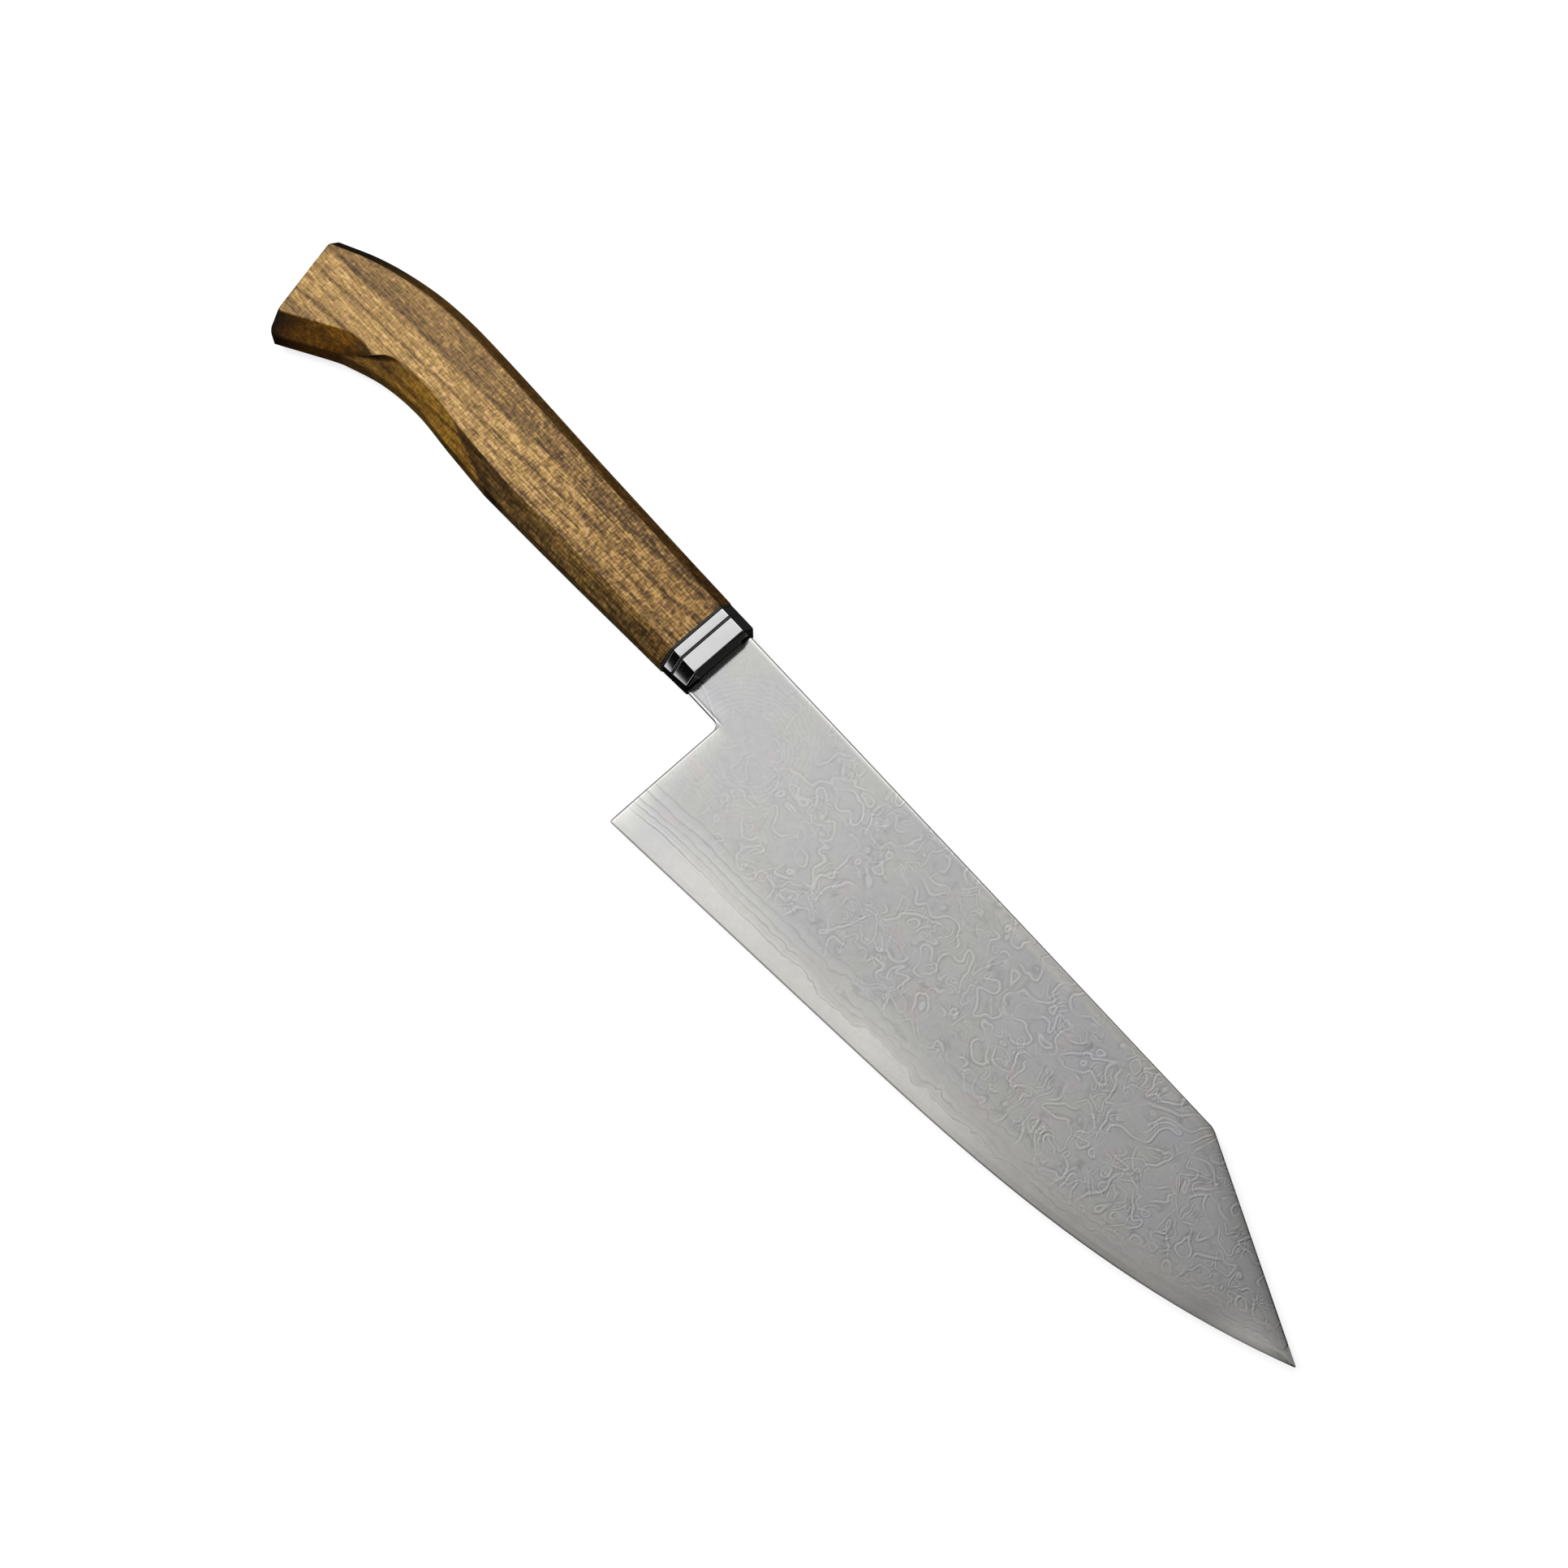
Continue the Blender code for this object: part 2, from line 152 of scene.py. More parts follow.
def colour_ramp(tree, value, stops, interpolation="LINEAR"):
    """Stops are (position, colour) pairs from left to right."""
    node = place(tree, "ValToRGB", {0: value})
    ramp = node.color_ramp
    ramp.interpolation = interpolation
    while len(ramp.elements) < len(stops):
        ramp.elements.new(0.5)
    for element, (position, _) in zip(ramp.elements, stops):
        element.position = position
    for element, (_, colour) in zip(ramp.elements, stops):
        element.color = (*colour, 1.0)
    return node.outputs[0]


def new_group(name, inputs, outputs):
    """An empty node group with named inputs and outputs."""
    group = bpy.data.node_groups.new(name, "ShaderNodeTree")
    for in_out, sockets in (("INPUT", inputs), ("OUTPUT", outputs)):
        for socket_name, kind in sockets:
            group.interface.new_socket(name=socket_name, in_out=in_out, socket_type="NodeSocket" + kind)
    given = group.nodes.new("NodeGroupInput").outputs
    made = group.nodes.new("NodeGroupOutput").inputs
    return group, given, made


def new_material(name, **constants):
    """A material with one Principled shader. The constants are set on its own sockets."""
    material = bpy.data.materials.new(name)
    material.use_nodes = True
    tree = material.node_tree
    shader = tree.nodes["Principled BSDF"]
    for key, value in constants.items():
        shader.inputs[key.replace("_", " ")].default_value = value
    return material, tree, shader


def millimetres(tree, vector):
    return place(tree, "VectorMath", {0: vector, 3: 1000.0}, operation="SCALE").outputs[0]


def object_place(tree):
    return place(tree, "TexCoord").outputs["Object"]


def curve_through(tree, value, points, interpolation="LINEAR"):
    """Reads a value off a line drawn through (position, height) points."""
    start, reach = points[0][0], points[-1][0] - points[0][0]
    low = min(height for _, height in points)
    span = max(height for _, height in points) - low
    along = place(tree, "MapRange", {0: value, 1: start, 2: start + reach}).outputs[0]
    stops = [((at - start) / reach, ((height - low) / span,) * 3) for at, height in points]
    grey = place(tree, "RGBToBW", {0: colour_ramp(tree, along, stops, interpolation)}).outputs[0]
    return reckon(tree, "MULTIPLY_ADD", grey, span, low)


# The forged pattern is the same steel on the core and on both cladding sheets, so it is made once.
# It reads the height above the cutting edge, in millimetres, from the blade's own outline.
EDGE_SLOPE = math.tan(math.radians(4.2))
EDGE_HEIGHT_AT_ZERO = 25.7224 - 21.4012 * EDGE_SLOPE
SWEEP_START_X = 39.5988
SWEEP_LENGTH = 118.0
SWEEP_LIFT = 14.26
TIP_X = 157.6
PATTERN_INPUTS = [("Place", "Vector"), ("Facing", "Vector")]
PATTERN_OUTPUTS = [("Colour", "Color"), ("Roughness", "Float"), ("Relief", "Float")]

steel, given, made = new_group("Forged steel", PATTERN_INPUTS + [("Base", "Color")], PATTERN_OUTPUTS)
mm = millimetres(steel, given["Place"])
axes = place(steel, "SeparateXYZ", {0: mm}).outputs
facing = place(steel, "SeparateXYZ", {0: given["Facing"]}).outputs
spread = stretch(steel, mm, 1.0, 1.0, 6.0)

past_sweep = reckon(steel, "MAXIMUM", reckon(steel, "SUBTRACT", axes[0], SWEEP_START_X), 0.0)
sweep = reckon(steel, "POWER", reckon(steel, "DIVIDE", past_sweep, SWEEP_LENGTH), 3.0)
edge_drop = reckon(steel, "MULTIPLY_ADD", axes[0], -EDGE_SLOPE, EDGE_HEIGHT_AT_ZERO)
above_edge = reckon(steel, "ADD", axes[1], reckon(steel, "MULTIPLY_ADD", sweep, -SWEEP_LIFT, edge_drop))

# Layers cut at a slant show as lines. Each is a pale core between two dark sides, on a scale that runs
# from -1 for dark to 1 for pale.
LINE_PROFILE = (
    (-1.0, 0.0), (-0.72, -0.35), (-0.42, -1.0), (-0.22, 0.1), (-0.05, 1.0), (0.14, 0.75),
    (0.30, -0.2), (0.46, -0.7), (0.75, -0.2), (1.0, 0.0),
)
CLOUD_STEP = 0.2


def layer_lines(spot, scale, distortion, level_count, least_slope, half_width):
    """Lines of one width in millimetres along the levels of a soft cloud."""

    def cloud_at(x, y):
        moved = place(steel, "VectorMath", {0: spot, 1: (x, y, 0.0)}, operation="ADD").outputs[0]
        return reckon(steel, "MULTIPLY", noise(steel, moved, scale, 0.8, 0.45, distortion), level_count)

    cloud = cloud_at(0.0, 0.0)
    slope_x = reckon(steel, "SUBTRACT", cloud_at(CLOUD_STEP, 0.0), cloud)
    slope_y = reckon(steel, "SUBTRACT", cloud_at(0.0, CLOUD_STEP), cloud)
    y_squared = reckon(steel, "MULTIPLY", slope_y, slope_y)
    squares = reckon(steel, "MULTIPLY_ADD", slope_x, slope_x, y_squared)
    per_mm = reckon(steel, "DIVIDE", reckon(steel, "SQRT", squares), CLOUD_STEP)
    per_mm = reckon(steel, "MAXIMUM", per_mm, least_slope)
    from_level = reckon(steel, "ADD", reckon(steel, "FRACT", cloud), -0.5)
    across = reckon(steel, "DIVIDE", from_level, reckon(steel, "MULTIPLY", per_mm, half_width))
    return curve_through(steel, across, LINE_PROFILE, "EASE")


def patches(spot, scale, low, high, at_low, at_high, detail=1.0):
    return rise(steel, noise(steel, spot, scale, detail), low, high, at_low, at_high)


# Curls: bold ones in loose groups, finer ones between them
other_spot = place(steel, "VectorMath", {0: spread, 1: (71.0, 13.0, 0.0)}, operation="ADD").outputs[0]
bold = layer_lines(spread, 0.16, 0.5, 5.6, 0.20, 1.05)
bold = reckon(steel, "MULTIPLY", bold, patches(spread, 0.19, 0.42, 0.54, 0.12, 1.0))
fine = layer_lines(other_spot, 0.23, 0.6, 6.0, 0.30, 0.75)
fine = reckon(steel, "MULTIPLY", fine, patches(other_spot, 0.15, 0.44, 0.57, 0.12, 0.75))
past_belly = rise(steel, axes[0], 60.0, 110.0, 0.0, 5.0)
clear_of_strata = rise(steel, reckon(steel, "ADD", above_edge, past_belly), 9.0, 13.5, 0.1, 1.0)
clear_of_neck = rise(steel, axes[0], -24.0, 12.0, 0.15, 1.0)
clear = reckon(steel, "MULTIPLY", clear_of_strata, clear_of_neck)
clear = reckon(steel, "MULTIPLY", clear, rise(steel, axes[0], -10.0, 90.0, 0.75, 0.95))
curls = reckon(steel, "MULTIPLY", clear, reckon(steel, "ADD", bold, fine))

# Strata: layers that run along the edge, nearly straight at the heel and crumpled towards the point.
# The lowest is the lamination line, where the bare core begins.
STRATA = (
    (0.0, 0.0), (4.6, 0.0), (4.9, 0.25), (5.25, -1.0), (5.6, 0.55), (6.2, 0.0), (6.6, 0.35),
    (6.95, -0.9), (7.3, 0.4), (8.1, 0.1), (8.45, -0.8), (8.8, 0.35), (10.1, 0.1), (10.45, -0.7),
    (10.8, 0.25), (12.4, 0.05), (12.75, -0.5), (13.2, 0.1), (14.0, 0.0),
)
slow_wave = reckon(steel, "ADD", noise(steel, stretch(steel, mm, 0.035, 0.05, 0.05), detail=1.0), -0.5)
crumpling = noise(steel, stretch(steel, mm, 0.24, 0.24, 0.2), 1.0, 1.4, 0.5, 0.5)
crumpling = reckon(steel, "ADD", crumpling, -0.5)
crumpling = reckon(steel, "MULTIPLY", crumpling, rise(steel, axes[0], 10.0, 45.0, 0.25, 1.0))
narrowing = rise(steel, axes[0], 0.0, TIP_X, 0.0, 2.4)
layer_height = reckon(steel, "ADD", above_edge, narrowing)
layer_height = reckon(steel, "MULTIPLY_ADD", slow_wave, 3.2, layer_height)
layer_height = reckon(steel, "MULTIPLY_ADD", crumpling, 4.5, layer_height)
strata = curve_through(steel, layer_height, STRATA, "EASE")
broken = patches(stretch(steel, mm, 0.06, 0.25, 1.0), 1.0, 0.36, 0.56, 0.3, 1.0)
strata = reckon(steel, "MULTIPLY", strata, broken)
strata = reckon(steel, "MULTIPLY", strata, rise(steel, axes[0], 70.0, 110.0, 1.0, 0.5))
strata = reckon(steel, "MULTIPLY", strata, rise(steel, axes[0], -12.0, 25.0, 1.5, 1.0))

# Arcs in the neck, where the layers turn round the forged shoulder
NECK_ARC_CENTRE = (-14.5, 6.5, 7.5)
neck_radius = place(steel, "VectorMath", {0: mm, 1: NECK_ARC_CENTRE}, operation="DISTANCE").outputs[1]
neck_waves = noise(steel, mm, 0.3, 2.0)
neck_count = reckon(steel, "MULTIPLY", neck_radius, 0.95)
neck_count = reckon(steel, "MULTIPLY_ADD", neck_waves, 2.6, neck_count)
neck_arcs = reckon(steel, "SINE", reckon(steel, "MULTIPLY", neck_count, 2 * math.pi))
neck_strength = rise(steel, neck_radius, 19.0, 13.0, 0.0, 0.14)
neck_strength = reckon(steel, "MULTIPLY", neck_strength, rise(steel, neck_radius, 5.0, 9.0))
lines = reckon(steel, "MULTIPLY_ADD", neck_arcs, neck_strength, reckon(steel, "ADD", curls, strata))

# Tone: layer lines, brushed hairlines, mottling from the etch and slow clouds
hairlines = noise(steel, stretch(steel, mm, 0.30, 4.0, 4.0), detail=2.0)
tone = reckon(steel, "MULTIPLY_ADD", lines, 0.19, rise(steel, axes[0], 35.0, 5.0, 1.0, 1.05))
for cloud, strength in (
    (hairlines, 0.03),
    (noise(steel, spread, 0.07, 3.0), 0.10),
    (noise(steel, spread, 0.55, 2.0, 0.6), 0.15),
):
    tone = reckon(steel, "MULTIPLY_ADD", reckon(steel, "ADD", cloud, -0.5), strength, tone)

# The bare band is brighter than the rest from the heel to the belly and again near the point,
# and a little darker in between
BAND_TONE_ALONG = (
    (-15.0, 1.20), (0.0, 1.28), (30.0, 1.32), (50.0, 1.42), (70.0, 1.33), (84.0, 1.10),
    (100.0, 0.95), (128.0, 0.93), (137.0, 0.84), (145.0, 1.32), (152.0, 1.46), (157.6, 1.5),
)
BAND_TONE_SHARE = ((0.0, 1.0), (4.9, 1.0), (5.6, 0.55), (7.5, 0.38), (9.5, 0.2), (14.0, 0.0))


def scaled_by_curve(tone, value, curve, share):
    """Multiplies the tone by a curve's height, as far as the share of the surface goes."""
    change = reckon(steel, "ADD", curve_through(steel, value, curve), -1.0)
    return reckon(steel, "MULTIPLY", tone, reckon(steel, "MULTIPLY_ADD", change, share, 1.0))


tone = scaled_by_curve(tone, axes[0], BAND_TONE_ALONG, curve_through(steel, layer_height, BAND_TONE_SHARE))

# Painted highlights and painted shade at the rims: the heel and spine end in a thin dark line beside a
# bright one, the neck's underside in a bright line beside a dark one, and the strip along the clip is
# darker.
HEEL_X = -21.4
HEEL_PAINTED_RIM_LINES = (
    (0.0, 0.25), (0.2, 0.36), (0.35, 1.25), (0.5, 1.7), (0.7, 1.3), (2.0, 1.12), (4.0, 1.04),
    (7.0, 1.0),
)
CLIP_SHADE = ((0.0, 0.60), (0.3, 0.60), (0.6, 0.66), (1.2, 0.78), (2.0, 0.85), (3.5, 0.92), (6.0, 1.0))
NECK_PAINTED_RIM_LINES = (
    (0.0, 0.9), (0.1, 1.5), (0.2, 2.0), (0.35, 1.3), (0.5, 0.75), (0.65, 0.6), (0.9, 1.05),
    (2.0, 1.08), (4.0, 1.0),
)
SPINE_BY_HEEL = ((0.0, 0.30), (0.2, 0.40), (0.35, 1.1), (0.5, 1.55), (0.7, 1.2), (1.2, 1.0), (2.0, 1.0))
SPINE_BY_POINT = ((0.0, 0.30), (0.2, 0.36), (0.35, 0.76), (0.5, 0.86), (0.8, 0.88), (2.0, 1.0))
SPINE_Y = 23.28
CLIP_SLOPE_X, CLIP_SLOPE_Y, CLIP_OFFSET = -0.4206, -0.9073, 67.81
NECK_UNDERSIDE_Y = 5.28
from_heel = reckon(steel, "SUBTRACT", axes[0], HEEL_X)
from_clip = reckon(steel, "MULTIPLY_ADD", axes[1], CLIP_SLOPE_Y, CLIP_OFFSET)
from_clip = reckon(steel, "ADD", reckon(steel, "MULTIPLY", axes[0], CLIP_SLOPE_X), from_clip)
below_neck = rise(steel, axes[1], 5.5, 3.5)
# Painted rim lines at the heel and under the neck, and painted shade along the clip
tone = scaled_by_curve(tone, from_heel, HEEL_PAINTED_RIM_LINES, below_neck)
tone = reckon(steel, "MULTIPLY", tone, curve_through(steel, from_clip, CLIP_SHADE))
over_neck = reckon(steel, "SUBTRACT", axes[1], NECK_UNDERSIDE_Y)
behind_heel = rise(steel, axes[0], -20.5, -22.5)
tone = scaled_by_curve(tone, over_neck, NECK_PAINTED_RIM_LINES, behind_heel)
# Painted shade: a dark line along the cutting edge, fainter towards the point
edge_painted_shade = rise(steel, axes[0], 115.0, 140.0, 0.28, 0.6)
tone = reckon(steel, "MULTIPLY", tone, rise(steel, above_edge, 0.05, 0.55, edge_painted_shade, 1.0))
# Painted dark and bright lines along the spine, standing for its rim's reflections
from_spine = reckon(steel, "SUBTRACT", SPINE_Y, axes[1])
by_heel = curve_through(steel, from_spine, SPINE_BY_HEEL)
by_point = curve_through(steel, from_spine, SPINE_BY_POINT)
along_spine = rise(steel, axes[0], 5.0, 75.0)
spine_change = reckon(steel, "SUBTRACT", by_point, by_heel)
spine_line = reckon(steel, "MULTIPLY_ADD", spine_change, along_spine, by_heel)
tone = reckon(steel, "MULTIPLY", tone, spine_line)

# Faint violet, warm and rosy tints from the etching; warmer above the edge, and warmer and a little
# lighter in a frayed strip along the spine
tint = colour_ramp(
    steel,
    noise(steel, spread, 0.075, 2.0, 0.6, 0.3),
    [
        (0.34, (0.995, 0.993, 1.015)), (0.47, (0.998, 0.997, 1.006)),
        (0.54, (1.005, 1.005, 0.98)), (0.66, (1.012, 1.01, 0.965)),
    ],
)
rosy = patches(stretch(steel, spread, 1.0, 1.3, 1.0), 0.11, 0.58, 0.70, 0.0, 1.0, 2.0)
tint = colour_mix(steel, "MIX", rosy, tint, (1.05, 0.99, 0.975, 1.0))
fray = noise(steel, stretch(steel, mm, 0.2, 0.5, 0.5), 1.0, 3.0, 0.6)
frayed = reckon(steel, "MULTIPLY_ADD", fray, 5.0, axes[1])
towards_clip = rise(steel, axes[0], 20.0, 60.0, 0.2, 1.0)
cream = reckon(steel, "MULTIPLY", rise(steel, frayed, 22.8, 24.0), towards_clip)
tone = reckon(steel, "MULTIPLY", tone, reckon(steel, "MULTIPLY_ADD", cream, 0.09, 1.0))
warm = reckon(steel, "MAXIMUM", cream, rise(steel, above_edge, 10.5, 6.0))
warm = reckon(steel, "MULTIPLY", warm, rise(steel, axes[0], -20.0, 10.0, 0.2, 0.75))
tint = colour_mix(steel, "MIX", warm, tint, (1.03, 1.01, 0.955, 1.0))
tinted = colour_mix(steel, "MULTIPLY", 1.0, given["Base"], tint)
toned = place(steel, "VectorMath", {0: tinted, 3: tone}, operation="SCALE").outputs[0]

# The rounded rim of the spine mirrors more light than the broad faces, so its colour is painted a
# little darker there: painted shade
faces_out = rise(steel, reckon(steel, "ABSOLUTE", facing[2]), 0.5, 0.8)
rim = rise(steel, reckon(steel, "MULTIPLY", facing[1], faces_out), 0.08, 0.25)
rim_painted_shade = reckon(steel, "MULTIPLY_ADD", rim, -0.22, 1.0)
toned = place(steel, "VectorMath", {0: toned, 3: rim_painted_shade}, operation="SCALE").outputs[0]
steel.links.new(toned, made["Colour"])
rough = reckon(steel, "MULTIPLY_ADD", hairlines, 0.06, 0.16)
rough = reckon(steel, "MULTIPLY", rough, rise(steel, axes[0], -31.5, -22.0, 0.55, 1.0))
steel.links.new(rough, made["Roughness"])
relief = reckon(steel, "MULTIPLY_ADD", hairlines, 0.12, reckon(steel, "MULTIPLY", lines, 0.5))
steel.links.new(relief, made["Relief"])


def add_relief(tree, shader, height, depth, strength=1.0):
    """Roughens the surface by a pattern of heights. The depth is in metres."""
    bump = place(tree, "Bump", {"Height": height, "Distance": depth, "Strength": strength})
    tree.links.new(bump.outputs["Normal"], shader.inputs["Normal"])


def add_pattern(tree, shader, group, relief_depth):
    """Puts a pattern group into a material and joins it to the shader."""
    pattern = tree.nodes.new("ShaderNodeGroup")
    pattern.node_tree = group
    tree.links.new(object_place(tree), pattern.inputs["Place"])
    tree.links.new(place(tree, "TexCoord").outputs["Normal"], pattern.inputs["Facing"])
    tree.links.new(pattern.outputs["Colour"], shader.inputs["Base Color"])
    tree.links.new(pattern.outputs["Roughness"], shader.inputs["Roughness"])
    add_relief(tree, shader, pattern.outputs["Relief"], relief_depth)
    return pattern


def steel_material(name, grey, relief_depth):
    """Polished and etched blade steel, brighter or darker by its grey."""
    material, tree, shader = new_material(name, Metallic=1.0)
    pattern = add_pattern(tree, shader, steel, relief_depth)
    pattern.inputs["Base"].default_value = (grey, grey, grey, 1.0)
    return material


CORE_GREY = 0.53
CORE_RELIEF = 0.000007
BLADE_MIDDLE_Z = 0.0075
POINT_STARTS_X, POINT_THINNEST_X = 0.085, 0.140
POINT_THICKNESS_SHARE = 0.3
THINNED_HEIGHT = (0.006, 0.016)


def above_cutting_edge(point):
    """Height of a point of the blade above its cutting edge, in metres."""
    x, y = point.x * 1000, point.y * 1000
    lift = SWEEP_LIFT * (max(x - SWEEP_START_X, 0) / SWEEP_LENGTH) ** 3
    return (y - EDGE_SLOPE * x + EDGE_HEIGHT_AT_ZERO - lift) / 1000


def smooth(low, high, value):
    t = min(max((value - low) / (high - low), 0.0), 1.0)
    return t * t * (3 - 2 * t)


def thin_the_point(piece):
    """Grinds the lower part of the blade thinner towards its point, about the blade's middle plane."""
    shape = start_edit(piece, "VERT")
    for vertex in shape.verts:
        low_down = 1 - smooth(*THINNED_HEIGHT, above_cutting_edge(vertex.co))
        far_out = smooth(POINT_STARTS_X, POINT_THINNEST_X, vertex.co.x)
        share = (1 - POINT_THICKNESS_SHARE) * low_down * far_out
        vertex.co.z = BLADE_MIDDLE_Z + (vertex.co.z - BLADE_MIDDLE_Z) * (1 - share)
    end_edit(piece)


blade_core = copy_of_solid("blade_core", "blade_core_ground")
thin_the_point(blade_core)
finish_shading(blade_core, CORE_SMOOTH_ANGLE)
core_finish = steel_material("Core steel, ground", CORE_GREY, CORE_RELIEF)
hand_over(blade_core, core_finish, "core_steel", "blade_core")

# Cladding sheets, right and left.
# Layered damascus steel forged to both sides of the core, etched so that its layers show as curls.
# The rim along the spine, the clip, the heel and the neck is turned over softly and polished.

CLAD_GREY = 0.525
CLAD_RELIEF = 0.000014
# Rings of the rim from outside in, each with its width and how far it drops across it
RIM_RINGS = ((0.00016, 0.00019), (0.00026, 0.00008), (0.00010, 0.00001))
RIM_SHARE_OF_SHEET = 0.4
RIM_LOWEST = 0.0056
RIM_END_X = 0.1085
HEEL_RIM_X = -0.0204
FACING_OUTWARD = 0.9
FERRULE_FRONT_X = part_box("front_ring")[1][0]
clad_finish = steel_material("Layered steel, etched", CLAD_GREY, CLAD_RELIEF)


def spot_of(vertex):
    """A vertex's place, which stays the same while the face is inset."""
    return tuple(round(value, 7) for value in vertex.co)


def turn_rim(sheet, side):
    """Insets the outer face ring by ring and lowers each ring, so that the rim turns over softly."""
    shape = start_edit(sheet, "FACE")
    outward = [face for face in shape.faces if face.normal.z * side > FACING_OUTWARD]
    outer = max(outward, key=lambda face: face.calc_area())
    outer.select = True
    rings = [{spot_of(v) for v in outer.verts}]
    core_face = min(side * (v.co.z - BLADE_MIDDLE_Z) for v in shape.verts)
    bmesh.update_edit_mesh(sheet.data)
    for width, _ in RIM_RINGS:
        bpy.ops.mesh.inset(thickness=width)
        shape = bmesh.from_edit_mesh(sheet.data)
        rings.append({spot_of(v) for face in shape.faces if face.select for v in face.verts})
    total_drop = sum(drop for _, drop in RIM_RINGS)
    for vertex in shape.verts:
        point, spot = vertex.co, spot_of(vertex)
        number = next((number for number, ring in enumerate(rings[:-1]) if spot in ring), None)
        on_edge_border = above_cutting_edge(point) < RIM_LOWEST and point.x > HEEL_RIM_X
        if number is None or point.x < FERRULE_FRONT_X or on_edge_border:
            continue
        drop = sum(step for _, step in RIM_RINGS[number:])
        if point.x > RIM_END_X:
            drop = RIM_RINGS[0][1] if number == 0 else 0.0
        sheet_thickness = side * (point.z - BLADE_MIDDLE_Z) - core_face
        point.z -= side * drop * min(1.0, RIM_SHARE_OF_SHEET * sheet_thickness / total_drop)
    end_edit(sheet)


for node_name, piece_name, side in (
    ("cladding_right", "cladding_right_etched", 1),
    ("cladding_left", "cladding_left_etched", -1),
):
    sheet = copy_of_solid(node_name, piece_name)
    turn_rim(sheet, side)
    thin_the_point(sheet)
    finish_shading(sheet)
    hand_over(sheet, clad_finish, "layered_steel", node_name)

# Front ring of the ferrule.
# Eight-sided ring of bright metal with flats brushed across, polished corners and a bevelled front rim.
# The blade's neck passes through it. Its front face and front bevel are painted dark: painted shade.

RING_RELIEF = 0.000002
ferrule, given, made = new_group("Brushed ferrule metal", PATTERN_INPUTS, PATTERN_OUTPUTS)
mm = millimetres(ferrule, given["Place"])
facing = place(ferrule, "SeparateXYZ", {0: given["Facing"]}).outputs
brushed = noise(ferrule, stretch(ferrule, mm, 9.0, 0.8, 0.8), detail=3.0, roughness=0.6)
handled = noise(ferrule, mm, 0.35, 3.0)
tone = reckon(ferrule, "MULTIPLY_ADD", brushed, 0.24, 0.88)
tone = reckon(ferrule, "MULTIPLY_ADD", handled, 0.14, reckon(ferrule, "ADD", tone, -0.07))
# Painted shade: the front bevel and the front face are darkened by which way they face, the face almost
# to black
bevel_painted_shade = rise(ferrule, facing[0], 0.35, 0.6, 0.0, 0.62)
front_painted_shade = reckon(ferrule, "MAXIMUM", bevel_painted_shade, rise(ferrule, facing[0], 0.78, 0.9))
colour = colour_mix(ferrule, "MIX", front_painted_shade, (0.645, 0.645, 0.65, 1.0), (0.006, 0.006, 0.0065, 1.0))
toned = place(ferrule, "VectorMath", {0: colour, 3: tone}, operation="SCALE").outputs[0]
ferrule.links.new(toned, made["Colour"])
ferrule.links.new(reckon(ferrule, "MULTIPLY_ADD", brushed, 0.04, 0.04), made["Roughness"])
ferrule.links.new(brushed, made["Relief"])

ring_finish, tree, shader = new_material("Bright ferrule metal", Metallic=1.0)
add_pattern(tree, shader, ferrule, RING_RELIEF)

RING_CENTRE_Y = 0.0148
RING_SLOT_HALF_Y = 0.0093
RING_SLOT_HALF_Z = 0.0020
CORNER_LEAST_ANGLE = math.radians(12)
RING_ROUNDING = 0.00026
RING_ROUNDING_STEPS = 3


def outside_ring_slot(point):
    """True on the outer skin of a ring or spacer, false in the slot that the neck passes through."""
    off_middle = abs(point.z - BLADE_MIDDLE_Z) > RING_SLOT_HALF_Z
    return off_middle or abs(point.y - RING_CENTRE_Y) > RING_SLOT_HALF_Y


def round_corners(piece, width, steps):
    """Bevels the outer corners of a ring or spacer."""
    shape = start_edit(piece, "EDGE")
    for edge in shape.edges:
        if len(edge.link_faces) == 2 and edge.calc_face_angle() > CORNER_LEAST_ANGLE:
            edge.select = all(outside_ring_slot(v.co) for v in edge.verts)
    bmesh.update_edit_mesh(piece.data)
    bpy.ops.mesh.bevel(offset=width, segments=steps, profile=0.5, affect="EDGES", clamp_overlap=True)
    end_edit(piece)


# The underside of the ferrule is ground so that it meets the wood behind and rises towards the blade
LOWER_CORNER_Y = 0.0080
UNDERSIDE_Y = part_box("front_ring")[0][1]
UNDERSIDE_REAR_DROP = 0.00045
UNDERSIDE_FRONT_RISE = 0.00015
LOWER_FACET_SLANT = 1.58
HANDLE_FRONT_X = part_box("handle")[1][0]


def grind_underside(piece):
    """Slopes the lower facets of a ring or spacer along the ferrule, and leaves its slot alone."""
    shape = start_edit(piece, "VERT")
    for vertex in shape.verts:
        if outside_ring_slot(vertex.co):
            forward = (vertex.co.x - HANDLE_FRONT_X) / (FERRULE_FRONT_X - HANDLE_FRONT_X)
            low_down = (LOWER_CORNER_Y - vertex.co.y) / (LOWER_CORNER_Y - UNDERSIDE_Y)
            low_down = min(max(low_down, 0.0), 1.0)
            rise_here = (UNDERSIDE_FRONT_RISE + UNDERSIDE_REAR_DROP) * forward - UNDERSIDE_REAR_DROP
            vertex.co.y += low_down * rise_here
            outward = math.copysign(LOWER_FACET_SLANT, vertex.co.z - BLADE_MIDDLE_Z)
            vertex.co.z += low_down * rise_here * outward
    end_edit(piece)


def ferrule_plate(node_name, piece_name, rounding, steps):
    """A ring or spacer from its solid, with softer corners and the ferrule's sloping underside."""
    plate = copy_of_solid(node_name, piece_name)
    round_corners(plate, rounding, steps)
    grind_underside(plate)
    finish_shading(plate)
    return plate


front_ring = ferrule_plate("front_ring", "front_ring_brushed", RING_ROUNDING, RING_ROUNDING_STEPS)
hand_over(front_ring, ring_finish, "ferrule_metal", "front_ring")

# Ring spacer.
# Thin black fibre plate pressed between the two metal rings, flush with both.

